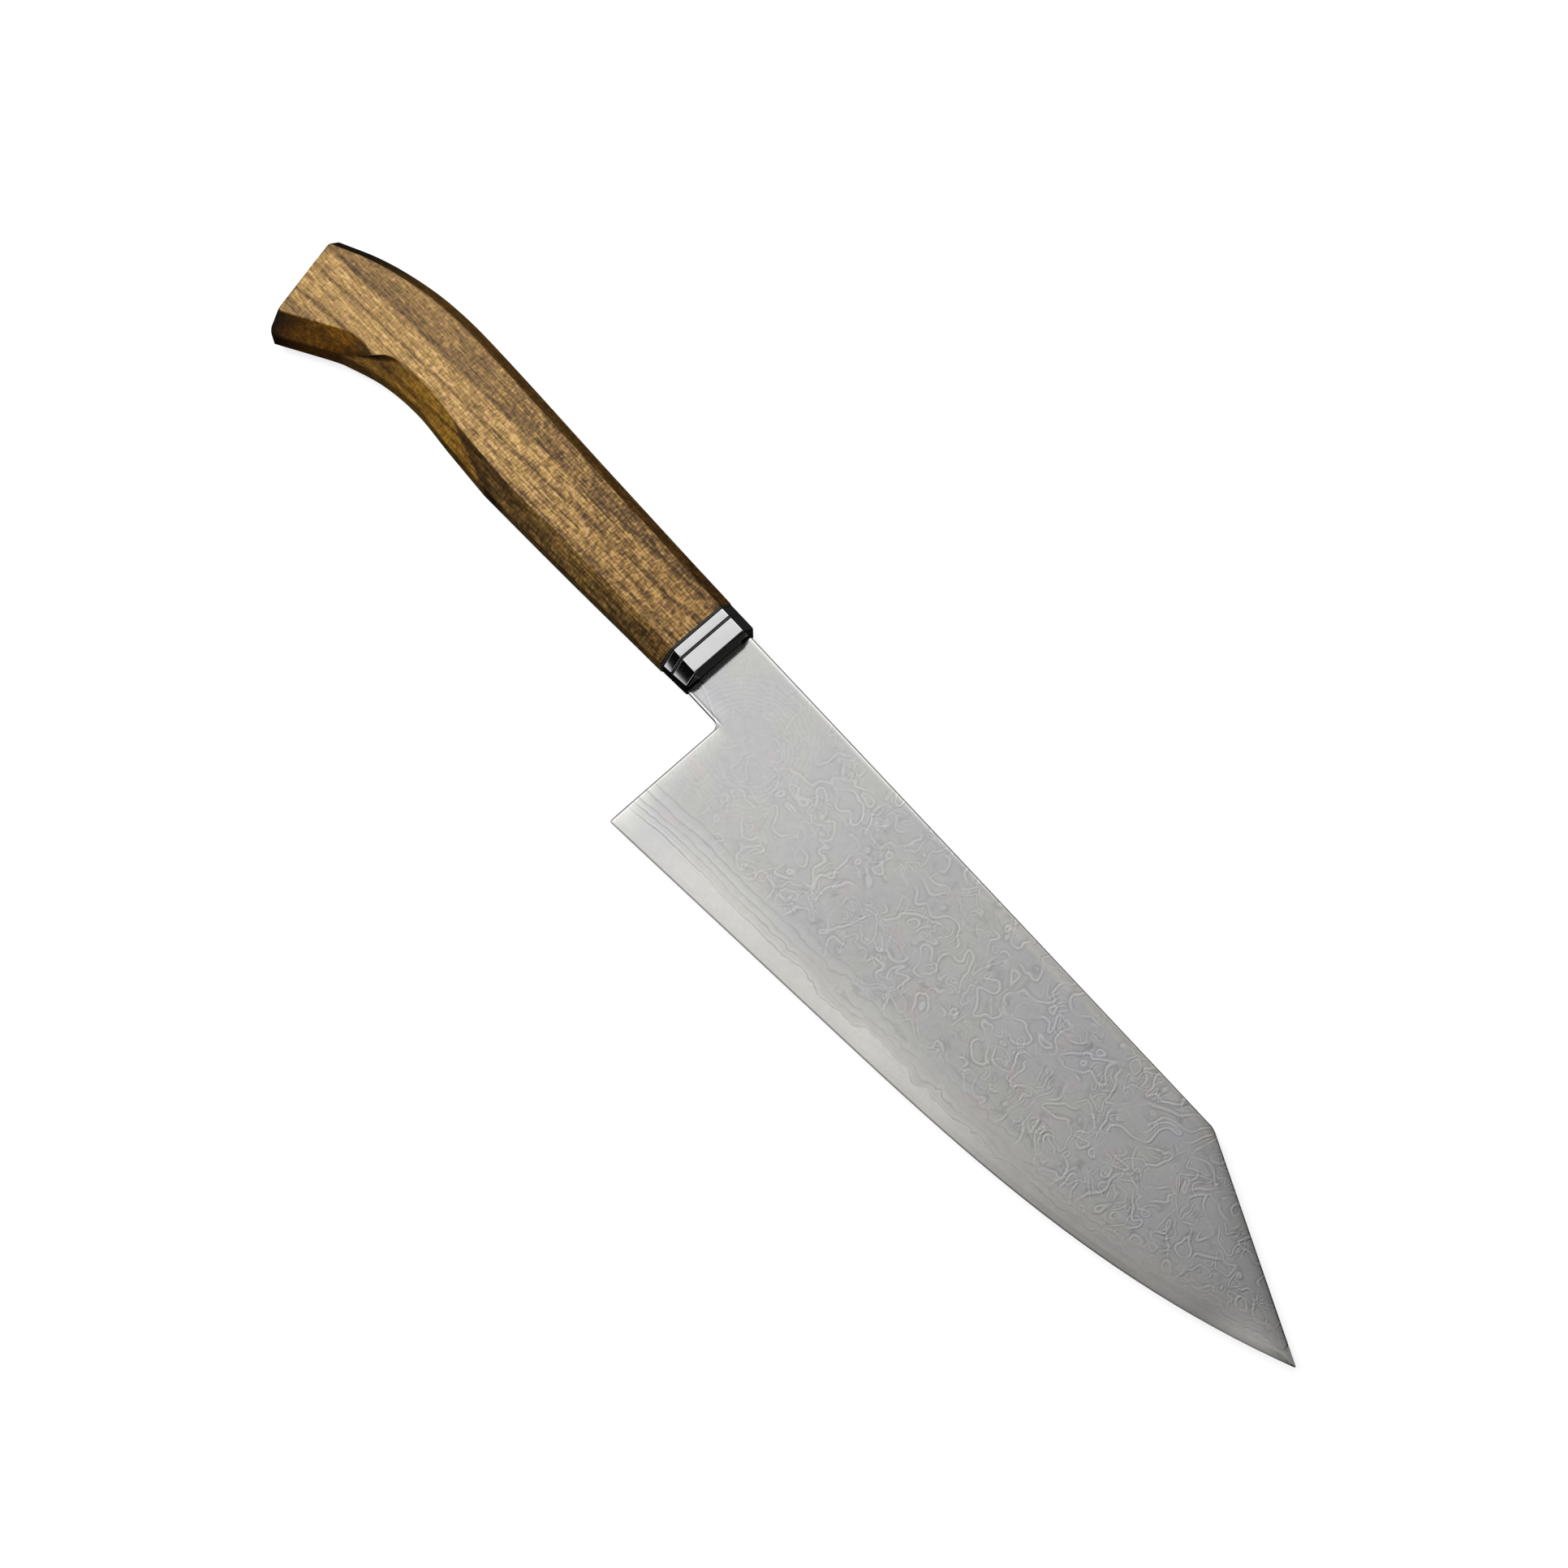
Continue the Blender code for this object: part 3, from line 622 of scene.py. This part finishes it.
FIBRE_RELIEF = 0.00001
RING_SPACER_BEVEL = 0.00003
fibre, tree, shader = new_material("Black fibre", Metallic=0.0)
mm = millimetres(tree, object_place(tree))
flecks = noise(tree, mm, 3.0, 4.0, 0.7)
layers = noise(tree, stretch(tree, mm, 12.0, 0.5, 0.5), detail=2.0)
mottle = reckon(tree, "MULTIPLY_ADD", layers, 0.4, flecks)
shade = colour_ramp(tree, mottle, [(0.35, (0.006, 0.006, 0.007)), (0.95, (0.022, 0.021, 0.020))])
tree.links.new(shade, shader.inputs["Base Color"])
tree.links.new(rise(tree, flecks, 0.2, 0.8, 0.42, 0.62), shader.inputs["Roughness"])
add_relief(tree, shader, flecks, FIBRE_RELIEF)

ring_spacer = ferrule_plate("ring_spacer", "ring_spacer_fibre", RING_SPACER_BEVEL, 1)
hand_over(ring_spacer, fibre, "black_fibre", "ring_spacer")

# Rear ring.
# The narrower ring of the same metal, set against the black plate behind it.

rear_ring = ferrule_plate("rear_ring", "rear_ring_brushed", RING_ROUNDING, RING_ROUNDING_STEPS)
hand_over(rear_ring, ring_finish, "ferrule_metal", "rear_ring")

# Wood spacer.
# A second black fibre plate, glued between the rear ring and the end of the wood.

WOOD_SPACER_BEVEL = 0.00005
wood_spacer = ferrule_plate("wood_spacer", "wood_spacer_fibre", WOOD_SPACER_BEVEL, 1)
hand_over(wood_spacer, fibre, "black_fibre", "wood_spacer")

# Handle.
# One piece of straight-grained hardwood, carved eight-sided with a hooked pommel, its creases sanded
# a little and the whole oiled. A slot for the tang is cut into its front end.

GRAIN_SLOPE = 0.06
WOOD_RELIEF = 0.00002

grain, given, made = new_group("Oiled grain", PATTERN_INPUTS, PATTERN_OUTPUTS + [("Oil", "Float")])
mm = millimetres(grain, given["Place"])
axes = place(grain, "SeparateXYZ", {0: mm}).outputs
facing = place(grain, "SeparateXYZ", {0: given["Facing"]}).outputs


def grain_cloud(along, across, detail=2.0, roughness=0.5):
    """A cloud drawn out along the grain, centred on zero."""
    drawn_out = stretch(grain, mm, along, across, across)
    return reckon(grain, "ADD", noise(grain, drawn_out, 1.0, detail, roughness), -0.5)


# Growth lines: the height across the grain, bent by slow waves and frayed by short ones
height = reckon(grain, "MULTIPLY_ADD", axes[0], -GRAIN_SLOPE, axes[1])
height = reckon(grain, "ADD", height, reckon(grain, "MULTIPLY_ADD", axes[2], 0.2, -3.0))
for cloud, reach in (
    (grain_cloud(0.016, 0.06), 3.0),
    (grain_cloud(0.10, 0.7, 3.0), 1.2),
    (grain_cloud(0.9, 1.6, 2.0, 0.6), 0.55),
):
    height = reckon(grain, "MULTIPLY_ADD", cloud, reach, height)
GROWTH = (
    (0.0, 0.45), (6.0, 0.35), (8.5, 0.50), (9.0, 0.25), (11.3, 0.25), (11.8, 0.66), (12.4, 0.20),
    (14.6, 0.18), (15.0, 0.44), (15.5, 0.15), (17.3, 0.20), (17.9, 0.60), (18.7, 0.22), (20.5, 0.18),
    (22.1, 0.30), (22.8, 0.78), (23.4, 0.54), (24.6, 0.60), (25.2, 0.42), (26.6, 0.50), (28.0, 0.36),
    (29.2, 0.48), (32.0, 0.40),
)
growth = curve_through(grain, height, GROWTH)

# Fibres, short dark dashes, glints and the fine marks across the grain, which are denser by the ferrule
fibres = grain_cloud(0.38, 2.8, 3.0, 0.65)
ladder = grain_cloud(1.7, 0.55, 2.5, 0.65)
ladder = reckon(grain, "MULTIPLY", ladder, rise(grain, axes[0], -135.0, -75.0, 0.45, 1.0))
weave = reckon(grain, "ADD", grain_cloud(0.20, 2.1, 1.5), grain_cloud(1.9, 0.75, 1.5))
weave = reckon(grain, "MULTIPLY", weave, rise(grain, axes[0], -135.0, -60.0, 0.35, 1.0))
dashes = rise(grain, grain_cloud(0.45, 2.4, 1.5), 0.05, 0.17)
glints = rise(grain, grain_cloud(0.55, 1.7, 1.5), 0.04, 0.18)
dark = growth
for cloud, strength in (
    (grain_cloud(0.05, 1.6, 4.0, 0.65), 0.85),
    (fibres, 0.95),
    (ladder, 1.00),
    (weave, 1.65),
    (dashes, 0.30),
    (glints, -0.20),
    (grain_cloud(0.12, 0.30), 0.28),
):
    dark = reckon(grain, "MULTIPLY_ADD", cloud, strength, dark)
wood_colour = colour_ramp(
    grain,
    reckon(grain, "MULTIPLY_ADD", dark, 0.8, 0.2),
    [
        (0.0, (0.74, 0.50, 0.21)), (0.20, (0.54, 0.345, 0.128)), (0.36, (0.37, 0.228, 0.081)),
        (0.536, (0.245, 0.148, 0.056)), (0.744, (0.145, 0.089, 0.041)), (1.0, (0.070, 0.043, 0.024)),
    ],
)
hue = colour_ramp(
    grain,
    noise(grain, stretch(grain, mm, 0.35, 0.8, 0.8)),
    [(0.38, (1.0, 1.015, 0.90)), (0.62, (1.015, 0.97, 1.08))],
)
wood_colour = colour_mix(grain, "MULTIPLY", 1.0, wood_colour, hue)


def both(first, second):
    """The share of the wood that lies in two masks at once."""
    return reckon(grain, "MULTIPLY", first, second)


def ahead_of_crease(slope, offset):
    """Millimetres along the handle that the wood lies in front of one of the belly's creases."""
    return reckon(grain, "MULTIPLY_ADD", axes[1], slope, reckon(grain, "ADD", axes[0], offset))


# Painted shade and painted light: the narrow facets, the creases, the pommel facet and the butt are
# darkened or lightened by which way they face and where they lie. Towards the ferrule the wood is
# darker, less so on the belly side.
crest_side = rise(grain, facing[1], 0.35, 0.75)
belly_side = rise(grain, facing[1], -0.25, -0.70)
ahead_of_pommel = ahead_of_crease(-1.495, 136.9)
ahead_of_scoop = ahead_of_crease(3.27, 85.6)
pommel_side = both(rise(grain, ahead_of_pommel, 0.7, -0.5), belly_side)
scoop_side = both(rise(grain, ahead_of_scoop, 0.8, -1.2), belly_side)
crease_painted_shade = both(rise(grain, ahead_of_scoop, -1.0, 1.0), rise(grain, ahead_of_scoop, 9.0, 3.0))
strip_painted_shade = both(rise(grain, axes[1], 3.6, 5.4), rise(grain, ahead_of_scoop, -1.0, 1.5))
strip_painted_shade = both(strip_painted_shade, rise(grain, axes[0], -90.0, -74.0, 0.85, 0.0))
crease_painted_shade = both(belly_side, reckon(grain, "MAXIMUM", crease_painted_shade, strip_painted_shade))
by_ferrule = rise(grain, axes[0], -130.0, -45.0, 0.08, 1.0)
by_ferrule = both(by_ferrule, reckon(grain, "MULTIPLY_ADD", belly_side, -0.6, 1.0))
steep_painted_light = both(rise(grain, facing[0], 0.22, 0.45), rise(grain, ahead_of_pommel, 0.0, 0.6))
steep_painted_light = both(steep_painted_light, rise(grain, ahead_of_scoop, 0.8, -1.2))
scoop_end_painted_shade = both(scoop_side, rise(grain, ahead_of_pommel, 9.0, 1.0))
crest_end = both(rise(grain, axes[0], -128.0, -152.0), crest_side)
pommel_end = both(rise(grain, axes[0], -144.5, -151.5), pommel_side)
butt_painted_shade = reckon(grain, "MAXIMUM", crest_end, pommel_end)
facet_tip_painted_shade = both(pommel_side, rise(grain, axes[0], -139.0, -133.0))
# Painted shade and painted light on the facets, creases and butt, and a darker tone towards the ferrule
for share, painted_shading_or_tint in (
    (reckon(grain, "MULTIPLY", crest_side, 0.95), (0.43, 0.33, 0.088, 1.0)),
    (belly_side, (0.44, 0.40, 0.27, 1.0)),
    (scoop_side, (1.22, 1.10, 0.50, 1.0)),
    (crease_painted_shade, (0.30, 0.25, 0.20, 1.0)),
    (pommel_side, (0.80, 0.60, 0.05, 1.0)),
    (scoop_end_painted_shade, (0.62, 0.62, 0.85, 1.0)),
    (steep_painted_light, (1.7, 1.6, 1.9, 1.0)),
    (butt_painted_shade, (0.08, 0.085, 0.04, 1.0)),
    (facet_tip_painted_shade, (0.20, 0.23, 0.15, 1.0)),
    (by_ferrule, (0.58, 0.53, 0.45, 1.0)),
):
    wood_colour = colour_mix(grain, "MULTIPLY", share, wood_colour, painted_shading_or_tint)
grain.links.new(wood_colour, made["Colour"])
grain.links.new(rise(grain, fibres, -0.3, 0.3, 0.44, 0.60), made["Roughness"])
relief = reckon(grain, "MULTIPLY_ADD", dashes, -0.7, reckon(grain, "MULTIPLY", fibres, 0.6))
grain.links.new(reckon(grain, "MULTIPLY_ADD", ladder, 0.5, relief), made["Relief"])
oil = rise(grain, dark, 0.1, 0.9, 0.28, 0.10)
oil = reckon(grain, "MULTIPLY", oil, reckon(grain, "MULTIPLY_ADD", pommel_side, -0.9, 1.0))
grain.links.new(oil, made["Oil"])

wood, tree, shader = new_material(
    "Oiled hardwood", Metallic=0.0, Specular_IOR_Level=0.18, Coat_Roughness=0.30, Coat_IOR=1.45
)
pattern = add_pattern(tree, shader, grain, WOOD_RELIEF)
tree.links.new(pattern.outputs["Oil"], shader.inputs["Coat Weight"])

# Carved outlines in millimetres: distance back from the ferrule end, and height in the knife's frame.
# A crease crosses a lower facet where one stretch of outline ends and the next begins.
CREST_LINE = (
    (0.0, 24.58), (40.3, 25.08), (79.4, 25.66), (91.2, 24.98), (100.7, 23.18), (109.3, 20.48),
    (118.5, 16.18),
)
FLAT_STRETCHES = (
    ((0.0, 8.03), (31.5, 7.23), (52.1, 6.33), (69.9, 7.23)),
    ((69.9, 7.23), (77.0, 8.03), (86.9, 7.33), (89.7, 6.23), (91.6, 4.03)),
    ((91.6, 4.03), (95.2, 4.63), (99.5, 3.73), (105.5, 0.23), (115.5, -5.57)),
)
BELLY_STRETCHES = (
    ((0.0, 4.68), (26.7, 3.48), (54.7, 2.58)),
    ((54.7, 2.58), (67.5, 3.28), (78.4, 3.98), (88.6, 2.78), (98.4, -0.52)),
    ((98.4, -0.52), (113.5, -9.52)),
)
CREST_STATIONS = (0.0, 62.8, 94.8, 118.5)
CREST_DROP = 2.85
HALF_WIDTH = 7.5
HALF_NARROW = 3.0
MIDDLE_Z = 1000 * BLADE_MIDDLE_Z
STEPS_PER_STRETCH = (36, 32, 24)
CREASE_SHARPNESS = 0.4
SANDED_AT_FERRULE = 0.12
SANDED = 0.55
SANDING_GROWS_OVER = 14.0
BUTT_LEAN = math.radians(13.0)
BUTT_END = (118.41, 16.18)
BUTT_ROUNDING = 0.9
BUTT_CHAMFER_LENGTH = 1.2
BUTT_CHAMFER_DEPTH = 1.4
BUTT_STEPS = 8
FACET_DIVISIONS = (5, 8, 6, 4, 6, 8, 5, 4)
CORNER_STEPS = 4
LARGEST_CUT_SHARE = 0.3
SEARCH_BEYOND = 3.0
SEARCH_HALVINGS = 40
WOOD_SMOOTH_ANGLE = math.radians(30)


def height_at(points, distance):
    """Smooth curve through the points of an outline, read at one distance along the handle."""
    last = len(points) - 1
    slopes = []
    for index in range(len(points)):
        before, after = points[max(index - 1, 0)], points[min(index + 1, last)]
        slopes.append((after[1] - before[1]) / (after[0] - before[0]))
    index = 0
    while index < last - 1 and distance > points[index + 1][0]:
        index += 1
    (start, low), (end, high) = points[index], points[index + 1]
    width = end - start
    t = (distance - start) / width
    bend = low * (2 * t**3 - 3 * t**2 + 1) + high * (3 * t**2 - 2 * t**3)
    return bend + width * (slopes[index] * (t**3 - 2 * t**2 + t) + slopes[index + 1] * (t**3 - t**2))


def butt_distance(y):
    """How far back the leaning butt lies at one height."""
    return BUTT_END[0] - (BUTT_END[1] - y) * math.tan(BUTT_LEAN)


def carved_end(points, drop, belly_share):
    """Where an outline stops short of the leaning butt, to leave room for its rounding and chamfer."""
    square_room = BUTT_ROUNDING + (BUTT_CHAMFER_LENGTH - BUTT_ROUNDING) * belly_share
    room = square_room / math.cos(BUTT_LEAN)
    low, high = points[0][0], points[-1][0] + SEARCH_BEYOND
    for _ in range(SEARCH_HALVINGS):
        middle = (low + high) / 2
        fits = middle < butt_distance(height_at(points, middle) - drop) - room
        low, high = (middle, high) if fits else (low, middle)
    return low


def carved_corners(stretch, t):
    """The eight corners of the handle's section, part of the way along one stretch of the carving."""
    flat, belly = FLAT_STRETCHES[stretch], BELLY_STRETCHES[stretch]
    crest_reach = CREST_STATIONS[stretch : stretch + 2]
    right = []
    for line, (start, end), drop, z, belly_share in (
        (CREST_LINE, crest_reach, 0.0, HALF_NARROW, 0.0),
        (CREST_LINE, crest_reach, CREST_DROP, HALF_WIDTH, 0.0),
        (flat, (flat[0][0], flat[-1][0]), 0.0, HALF_WIDTH, 0.0),
        (belly, (belly[0][0], belly[-1][0]), 0.0, HALF_NARROW, 1.0),
    ):
        if stretch == len(FLAT_STRETCHES) - 1:
            end = carved_end(line, drop, belly_share)
        at = start + t * (end - start)
        right.append(Vector((at, height_at(line, at) - drop, z)))
    return right + [Vector((corner.x, corner.y, -corner.z)) for corner in reversed(right)]


def sanded_ring(corners, cut):
    """Points round a section. Each corner is a short arc and each facet between is divided evenly."""
    ring = []
    count = len(corners)
    ends = []
    for index, corner in enumerate(corners):
        arms = []
        for neighbour in (corners[index - 1], corners[(index + 1) % count]):
            arm = neighbour - corner
            arms.append(corner + arm * min(cut / arm.length, LARGEST_CUT_SHARE))
        ends.append(arms)
    for index, corner in enumerate(corners):
        start, end = ends[index]
        for step in range(CORNER_STEPS + 1):
            t = step / CORNER_STEPS
            ring.append(start * (1 - t) ** 2 + corner * 2 * t * (1 - t) + end * t**2)
        following = ends[(index + 1) % count][0]
        for step in range(1, FACET_DIVISIONS[index]):
            ring.append(end.lerp(following, step / FACET_DIVISIONS[index]))
    return ring


def round_butt(ring, turn_share):
    """Carries the last section out to the butt and draws it in: round above, chamfered at the belly."""
    high, low = max(point.y for point in ring), min(point.y for point in ring)
    middle_y = (high + low) / 2
    angle = math.pi / 2 * turn_share
    out = Vector((math.cos(BUTT_LEAN), -math.sin(BUTT_LEAN), 0.0))
    up = Vector((math.sin(BUTT_LEAN), math.cos(BUTT_LEAN), 0.0))
    rounding = BUTT_ROUNDING * (1 - math.cos(angle))
    chamfer = BUTT_CHAMFER_DEPTH * (0.5 * math.sin(angle) + 0.5 * math.sin(angle) ** 2)
    rounded = []
    for point in ring:
        belly_share = 0.0
        if point.y < middle_y:
            belly_share = min((HALF_WIDTH - abs(point.z)) / (HALF_WIDTH - HALF_NARROW), 1.0)
        gap = (butt_distance(point.y) - point.x) * math.cos(BUTT_LEAN)
        inward = rounding * (1 - belly_share) + chamfer * belly_share
        outward = out * gap * math.sin(angle)
        moved = point + outward - up * inward * (point.y - middle_y) / (high - middle_y)
        moved.z -= rounding * point.z / HALF_WIDTH
        rounded.append(moved)
    return rounded


def put_in_frame(point):
    return Vector((HANDLE_FRONT_X - point.x / 1000, point.y / 1000, (point.z + MIDDLE_Z) / 1000))


# The carving is followed from the ferrule to the butt, with a station close to each side of a crease
stations = []
for stretch, steps in enumerate(STEPS_PER_STRETCH):
    length = FLAT_STRETCHES[stretch][-1][0] - FLAT_STRETCHES[stretch][0][0]
    shares = {step / steps for step in range(0 if stretch == 0 else 1, steps + 1)}
    if stretch > 0:
        shares.add(CREASE_SHARPNESS / length)
    if stretch < len(STEPS_PER_STRETCH) - 1:
        shares.add(1 - CREASE_SHARPNESS / length)
    for t in sorted(shares):
        corners = carved_corners(stretch, t)
        grown = smooth(0.0, SANDING_GROWS_OVER, corners[0].x)
        stations.append(sanded_ring(corners, SANDED_AT_FERRULE + (SANDED - SANDED_AT_FERRULE) * grown))
last_carved = stations[-1]
for step in range(1, BUTT_STEPS + 1):
    stations.append(round_butt(last_carved, step / BUTT_STEPS))

# A flat grid is wrapped round the stations, its seam is closed and both its ends are filled
points_round = len(stations[0])
bpy.ops.mesh.primitive_grid_add(x_subdivisions=len(stations) - 1, y_subdivisions=points_round, size=1.0)
handle = bpy.context.object
handle.name = "handle_carved"
for vertex in handle.data.vertices:
    station = round((vertex.co.x + 0.5) * (len(stations) - 1))
    position = round((vertex.co.y + 0.5) * points_round) % points_round
    vertex.co = put_in_frame(stations[station][position])
start_edit(handle, "VERT")
bpy.ops.mesh.select_all(action="SELECT")
bpy.ops.mesh.remove_doubles(threshold=MERGE_DISTANCE)
bpy.ops.mesh.select_all(action="DESELECT")
bpy.ops.mesh.select_non_manifold()
bpy.ops.mesh.edge_face_add()
bpy.ops.mesh.select_all(action="SELECT")
bpy.ops.mesh.normals_make_consistent(inside=False)
end_edit(handle)

# The slot for the tang is cut into the front end and narrows as it goes in. The cutter's front end and
# rear end each have a place along the handle and half a height.
SLOT_ENDS = {1: (-0.0383, 0.00715), -1: (-0.1134, 0.00486)}
SLOT_CENTRE_Y = 0.01483
SLOT_HALF_Z = 0.0024
bpy.ops.mesh.primitive_cube_add(size=2.0)
cutter = bpy.context.object
for vertex in cutter.data.vertices:
    x, half_height = SLOT_ENDS[round(vertex.co.x)]
    y = SLOT_CENTRE_Y + half_height * vertex.co.y
    vertex.co = (x, y, BLADE_MIDDLE_Z + SLOT_HALF_Z * vertex.co.z)
pick(handle)
cut = handle.modifiers.new("Tang slot", "BOOLEAN")
cut.operation = "DIFFERENCE"
cut.solver = "EXACT"
cut.object = cutter
bpy.ops.object.modifier_apply(modifier=cut.name)
bpy.data.objects.remove(cutter)
finish_shading(handle, WOOD_SMOOTH_ANGLE)
hand_over(handle, wood, "oiled_wood", "handle")

# Tang resin.
# Cured resin that fills the slot round the tang. Nothing of it shows outside, so its CAD solid stays.

RESIN_RELIEF = 0.00005
RESIN_RELIEF_STRENGTH = 0.6
resin, tree, shader = new_material("Cured resin", Metallic=0.0)
mm = millimetres(tree, object_place(tree))
swirl = noise(tree, mm, 0.4, 3.0, 0.5, 0.8)
bubbles = place(tree, "TexVoronoi", {"Vector": mm, "Scale": 1.6}).outputs["Distance"]
shade = colour_ramp(tree, swirl, [(0.3, (0.20, 0.13, 0.06)), (0.7, (0.30, 0.21, 0.10))])
tree.links.new(shade, shader.inputs["Base Color"])
tree.links.new(rise(tree, bubbles, 0.05, 0.3, 0.5, 0.25), shader.inputs["Roughness"])
add_relief(tree, shader, bubbles, RESIN_RELIEF, RESIN_RELIEF_STRENGTH)
resin_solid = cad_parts["tang_resin"]
for material_slot in resin_solid.material_slots:
    material_slot.material = resin

# Stage: floor, soft light and the cards that polished metal is photographed between.
# None of it is part of the knife.

FLOOR_SIZE = 12.0
FLOOR_Z = -0.0002


def seen_directly(tree):
    """One where the camera or a mirror sees it, nought where its light only falls on something."""
    path = place(tree, "LightPath").outputs
    mirrored = reckon(tree, "MAXIMUM", path["Is Glossy Ray"], path["Is Transmission Ray"])
    return reckon(tree, "MAXIMUM", path["Is Camera Ray"], mirrored)


bpy.ops.mesh.primitive_plane_add(size=FLOOR_SIZE, location=(0, 0, FLOOR_Z))
floor = bpy.context.object
floor.name = "floor"
floor_paint = bpy.data.materials.new("Pale floor")
floor_paint.use_nodes = True
tree = floor_paint.node_tree
tree.nodes.clear()
lit = place(tree, "BsdfDiffuse", {"Color": (0.30, 0.30, 0.30, 1.0)}).outputs[0]
glow = place(tree, "Emission", {"Color": (1, 1, 1, 1), "Strength": 0.78}).outputs[0]
shown = place(tree, "AddShader", {0: glow, 1: lit}).outputs[0]
dim = place(tree, "BsdfDiffuse", {"Color": (0.25, 0.25, 0.25, 1.0)}).outputs[0]
mixed = place(tree, "MixShader", {0: seen_directly(tree), 1: dim, 2: shown}).outputs[0]
tree.links.new(mixed, place(tree, "OutputMaterial").inputs[0])
floor.data.materials.append(floor_paint)


def glossy_only(card):
    """The card shows in polished metal and oil sheen, and neither lights nor shades anything."""
    card.visible_camera = False
    card.visible_diffuse = False
    card.visible_transmission = False
    card.visible_volume_scatter = False
    card.visible_shadow = False


def glow_material(name):
    """A material that only glows, with its tree, its glow and the place on the card."""
    material = bpy.data.materials.new(name)
    material.use_nodes = True
    tree = material.node_tree
    tree.nodes.clear()
    glow = place(tree, "Emission")
    tree.links.new(glow.outputs[0], place(tree, "OutputMaterial").inputs[0])
    at = place(tree, "SeparateXYZ", {0: object_place(tree)}).outputs
    return material, tree, glow, at


# Overhead panel, bright on the handle's side and dying away past the blade's tip
PANEL_HEIGHT = 1.3
PANEL_SIZE = 4.0
PANEL_GLOW = ((0.0, 1.15), (0.17, 1.02), (0.35, 0.80), (0.64, 0.42), (0.74, 0.10), (0.85, 0.03))
bpy.ops.mesh.primitive_plane_add(size=PANEL_SIZE, location=(0, 0, PANEL_HEIGHT))
panel = bpy.context.object
panel.name = "light_panel"
panel_paint, tree, glow, at = glow_material("Panel glow")
along = colour_ramp(
    tree,
    reckon(tree, "ADD", at[0], 0.5),
    [(position, (strength,) * 3) for position, strength in PANEL_GLOW],
)
beyond = rise(tree, at[1], 0.45, 0.8, 1.0, 1.7)
strength = place(tree, "RGBToBW", {0: along}).outputs[0]
tree.links.new(reckon(tree, "MULTIPLY", strength, beyond), glow.inputs["Strength"])
panel.data.materials.append(panel_paint)
glossy_only(panel)

# Card on the floor: a pale strip close in front of the knife, dark grey behind it, black elsewhere
CARD_SIZE = 4.0
CARD_Z = 0.0001
bpy.ops.mesh.primitive_plane_add(size=CARD_SIZE, location=(0, 0, CARD_Z))
card = bpy.context.object
card.name = "floor_card"
card_paint, tree, glow, at = glow_material("Card tones")
front = rise(tree, at[1], -0.0365, -0.0315)
back = rise(tree, at[1], -0.028, -0.020, 1.0, 0.0)
behind = rise(tree, at[1], 0.012, 0.030, 0.003, 0.022)
strip = reckon(tree, "MULTIPLY", front, back)
tree.links.new(reckon(tree, "MULTIPLY_ADD", strip, 0.98, behind), glow.inputs["Strength"])
card.data.materials.append(card_paint)
glossy_only(card)

# Low wall all round, dark below, which draws the thin dark line along polished rims
WALL_RADIUS = 2.4
WALL_HEIGHT = 0.9
bpy.ops.mesh.primitive_cylinder_add(
    vertices=64,
    radius=WALL_RADIUS,
    depth=WALL_HEIGHT,
    end_fill_type="NOTHING",
    location=(0, 0, WALL_HEIGHT / 2),
)
wall = bpy.context.object
wall.name = "dark_wall"
wall_paint, tree, glow, at = glow_material("Wall tones")
tree.links.new(rise(tree, at[2], 0.1, 0.45, 0.018, 0.6), glow.inputs["Strength"])
wall.data.materials.append(wall_paint)
glossy_only(wall)

# Soft lamp for wood and floor, which doesn't mirror in the metal
LAMP_PLACE = Vector((-0.35, -0.25, 1.6))
bpy.ops.object.light_add(type="AREA", location=LAMP_PLACE)
lamp = bpy.context.object
lamp.name = "soft_lamp"
lamp.data.shape = "SQUARE"
lamp.data.size = 0.8
lamp.data.energy = 30.0
lamp.rotation_euler = LAMP_PLACE.to_track_quat("Z", "Y").to_euler()
lamp.visible_glossy = False

# Surroundings that are seen white and light things only softly
world = bpy.data.worlds.new("Pale surroundings")
bpy.context.scene.world = world
world.use_nodes = True
tree = world.node_tree
tree.nodes.clear()
white = place(tree, "Background", {"Color": (1, 1, 1, 1), "Strength": 1.0}).outputs[0]
ambient = place(tree, "Background", {"Color": (1, 1, 1, 1), "Strength": 0.16}).outputs[0]
mixed = place(tree, "MixShader", {0: seen_directly(tree), 1: ambient, 2: white}).outputs[0]
tree.links.new(mixed, place(tree, "OutputWorld").inputs[0])

# Camera, where the photograph was taken from: high above the knife's right side, turned so that the
# blade points down and to the right
LENS = 98.24
CAMERA_PLACE = Vector((0.169997, -0.149184, 0.876833))
CAMERA_RIGHT = Vector((0.670280, 0.742110, 0.0))
CAMERA_UP = Vector((-0.716822, 0.647442, 0.258819))
bpy.ops.object.camera_add(location=CAMERA_PLACE)
camera = bpy.context.object
turn = Matrix((CAMERA_RIGHT, CAMERA_UP, CAMERA_RIGHT.cross(CAMERA_UP))).transposed()
camera.rotation_euler = turn.to_euler()
camera.data.lens = LENS
camera.data.sensor_width = 36.0
camera.data.clip_start = 0.01
camera.data.clip_end = 50.0
bpy.context.scene.camera = camera
bpy.context.scene.view_settings.view_transform = "Standard"
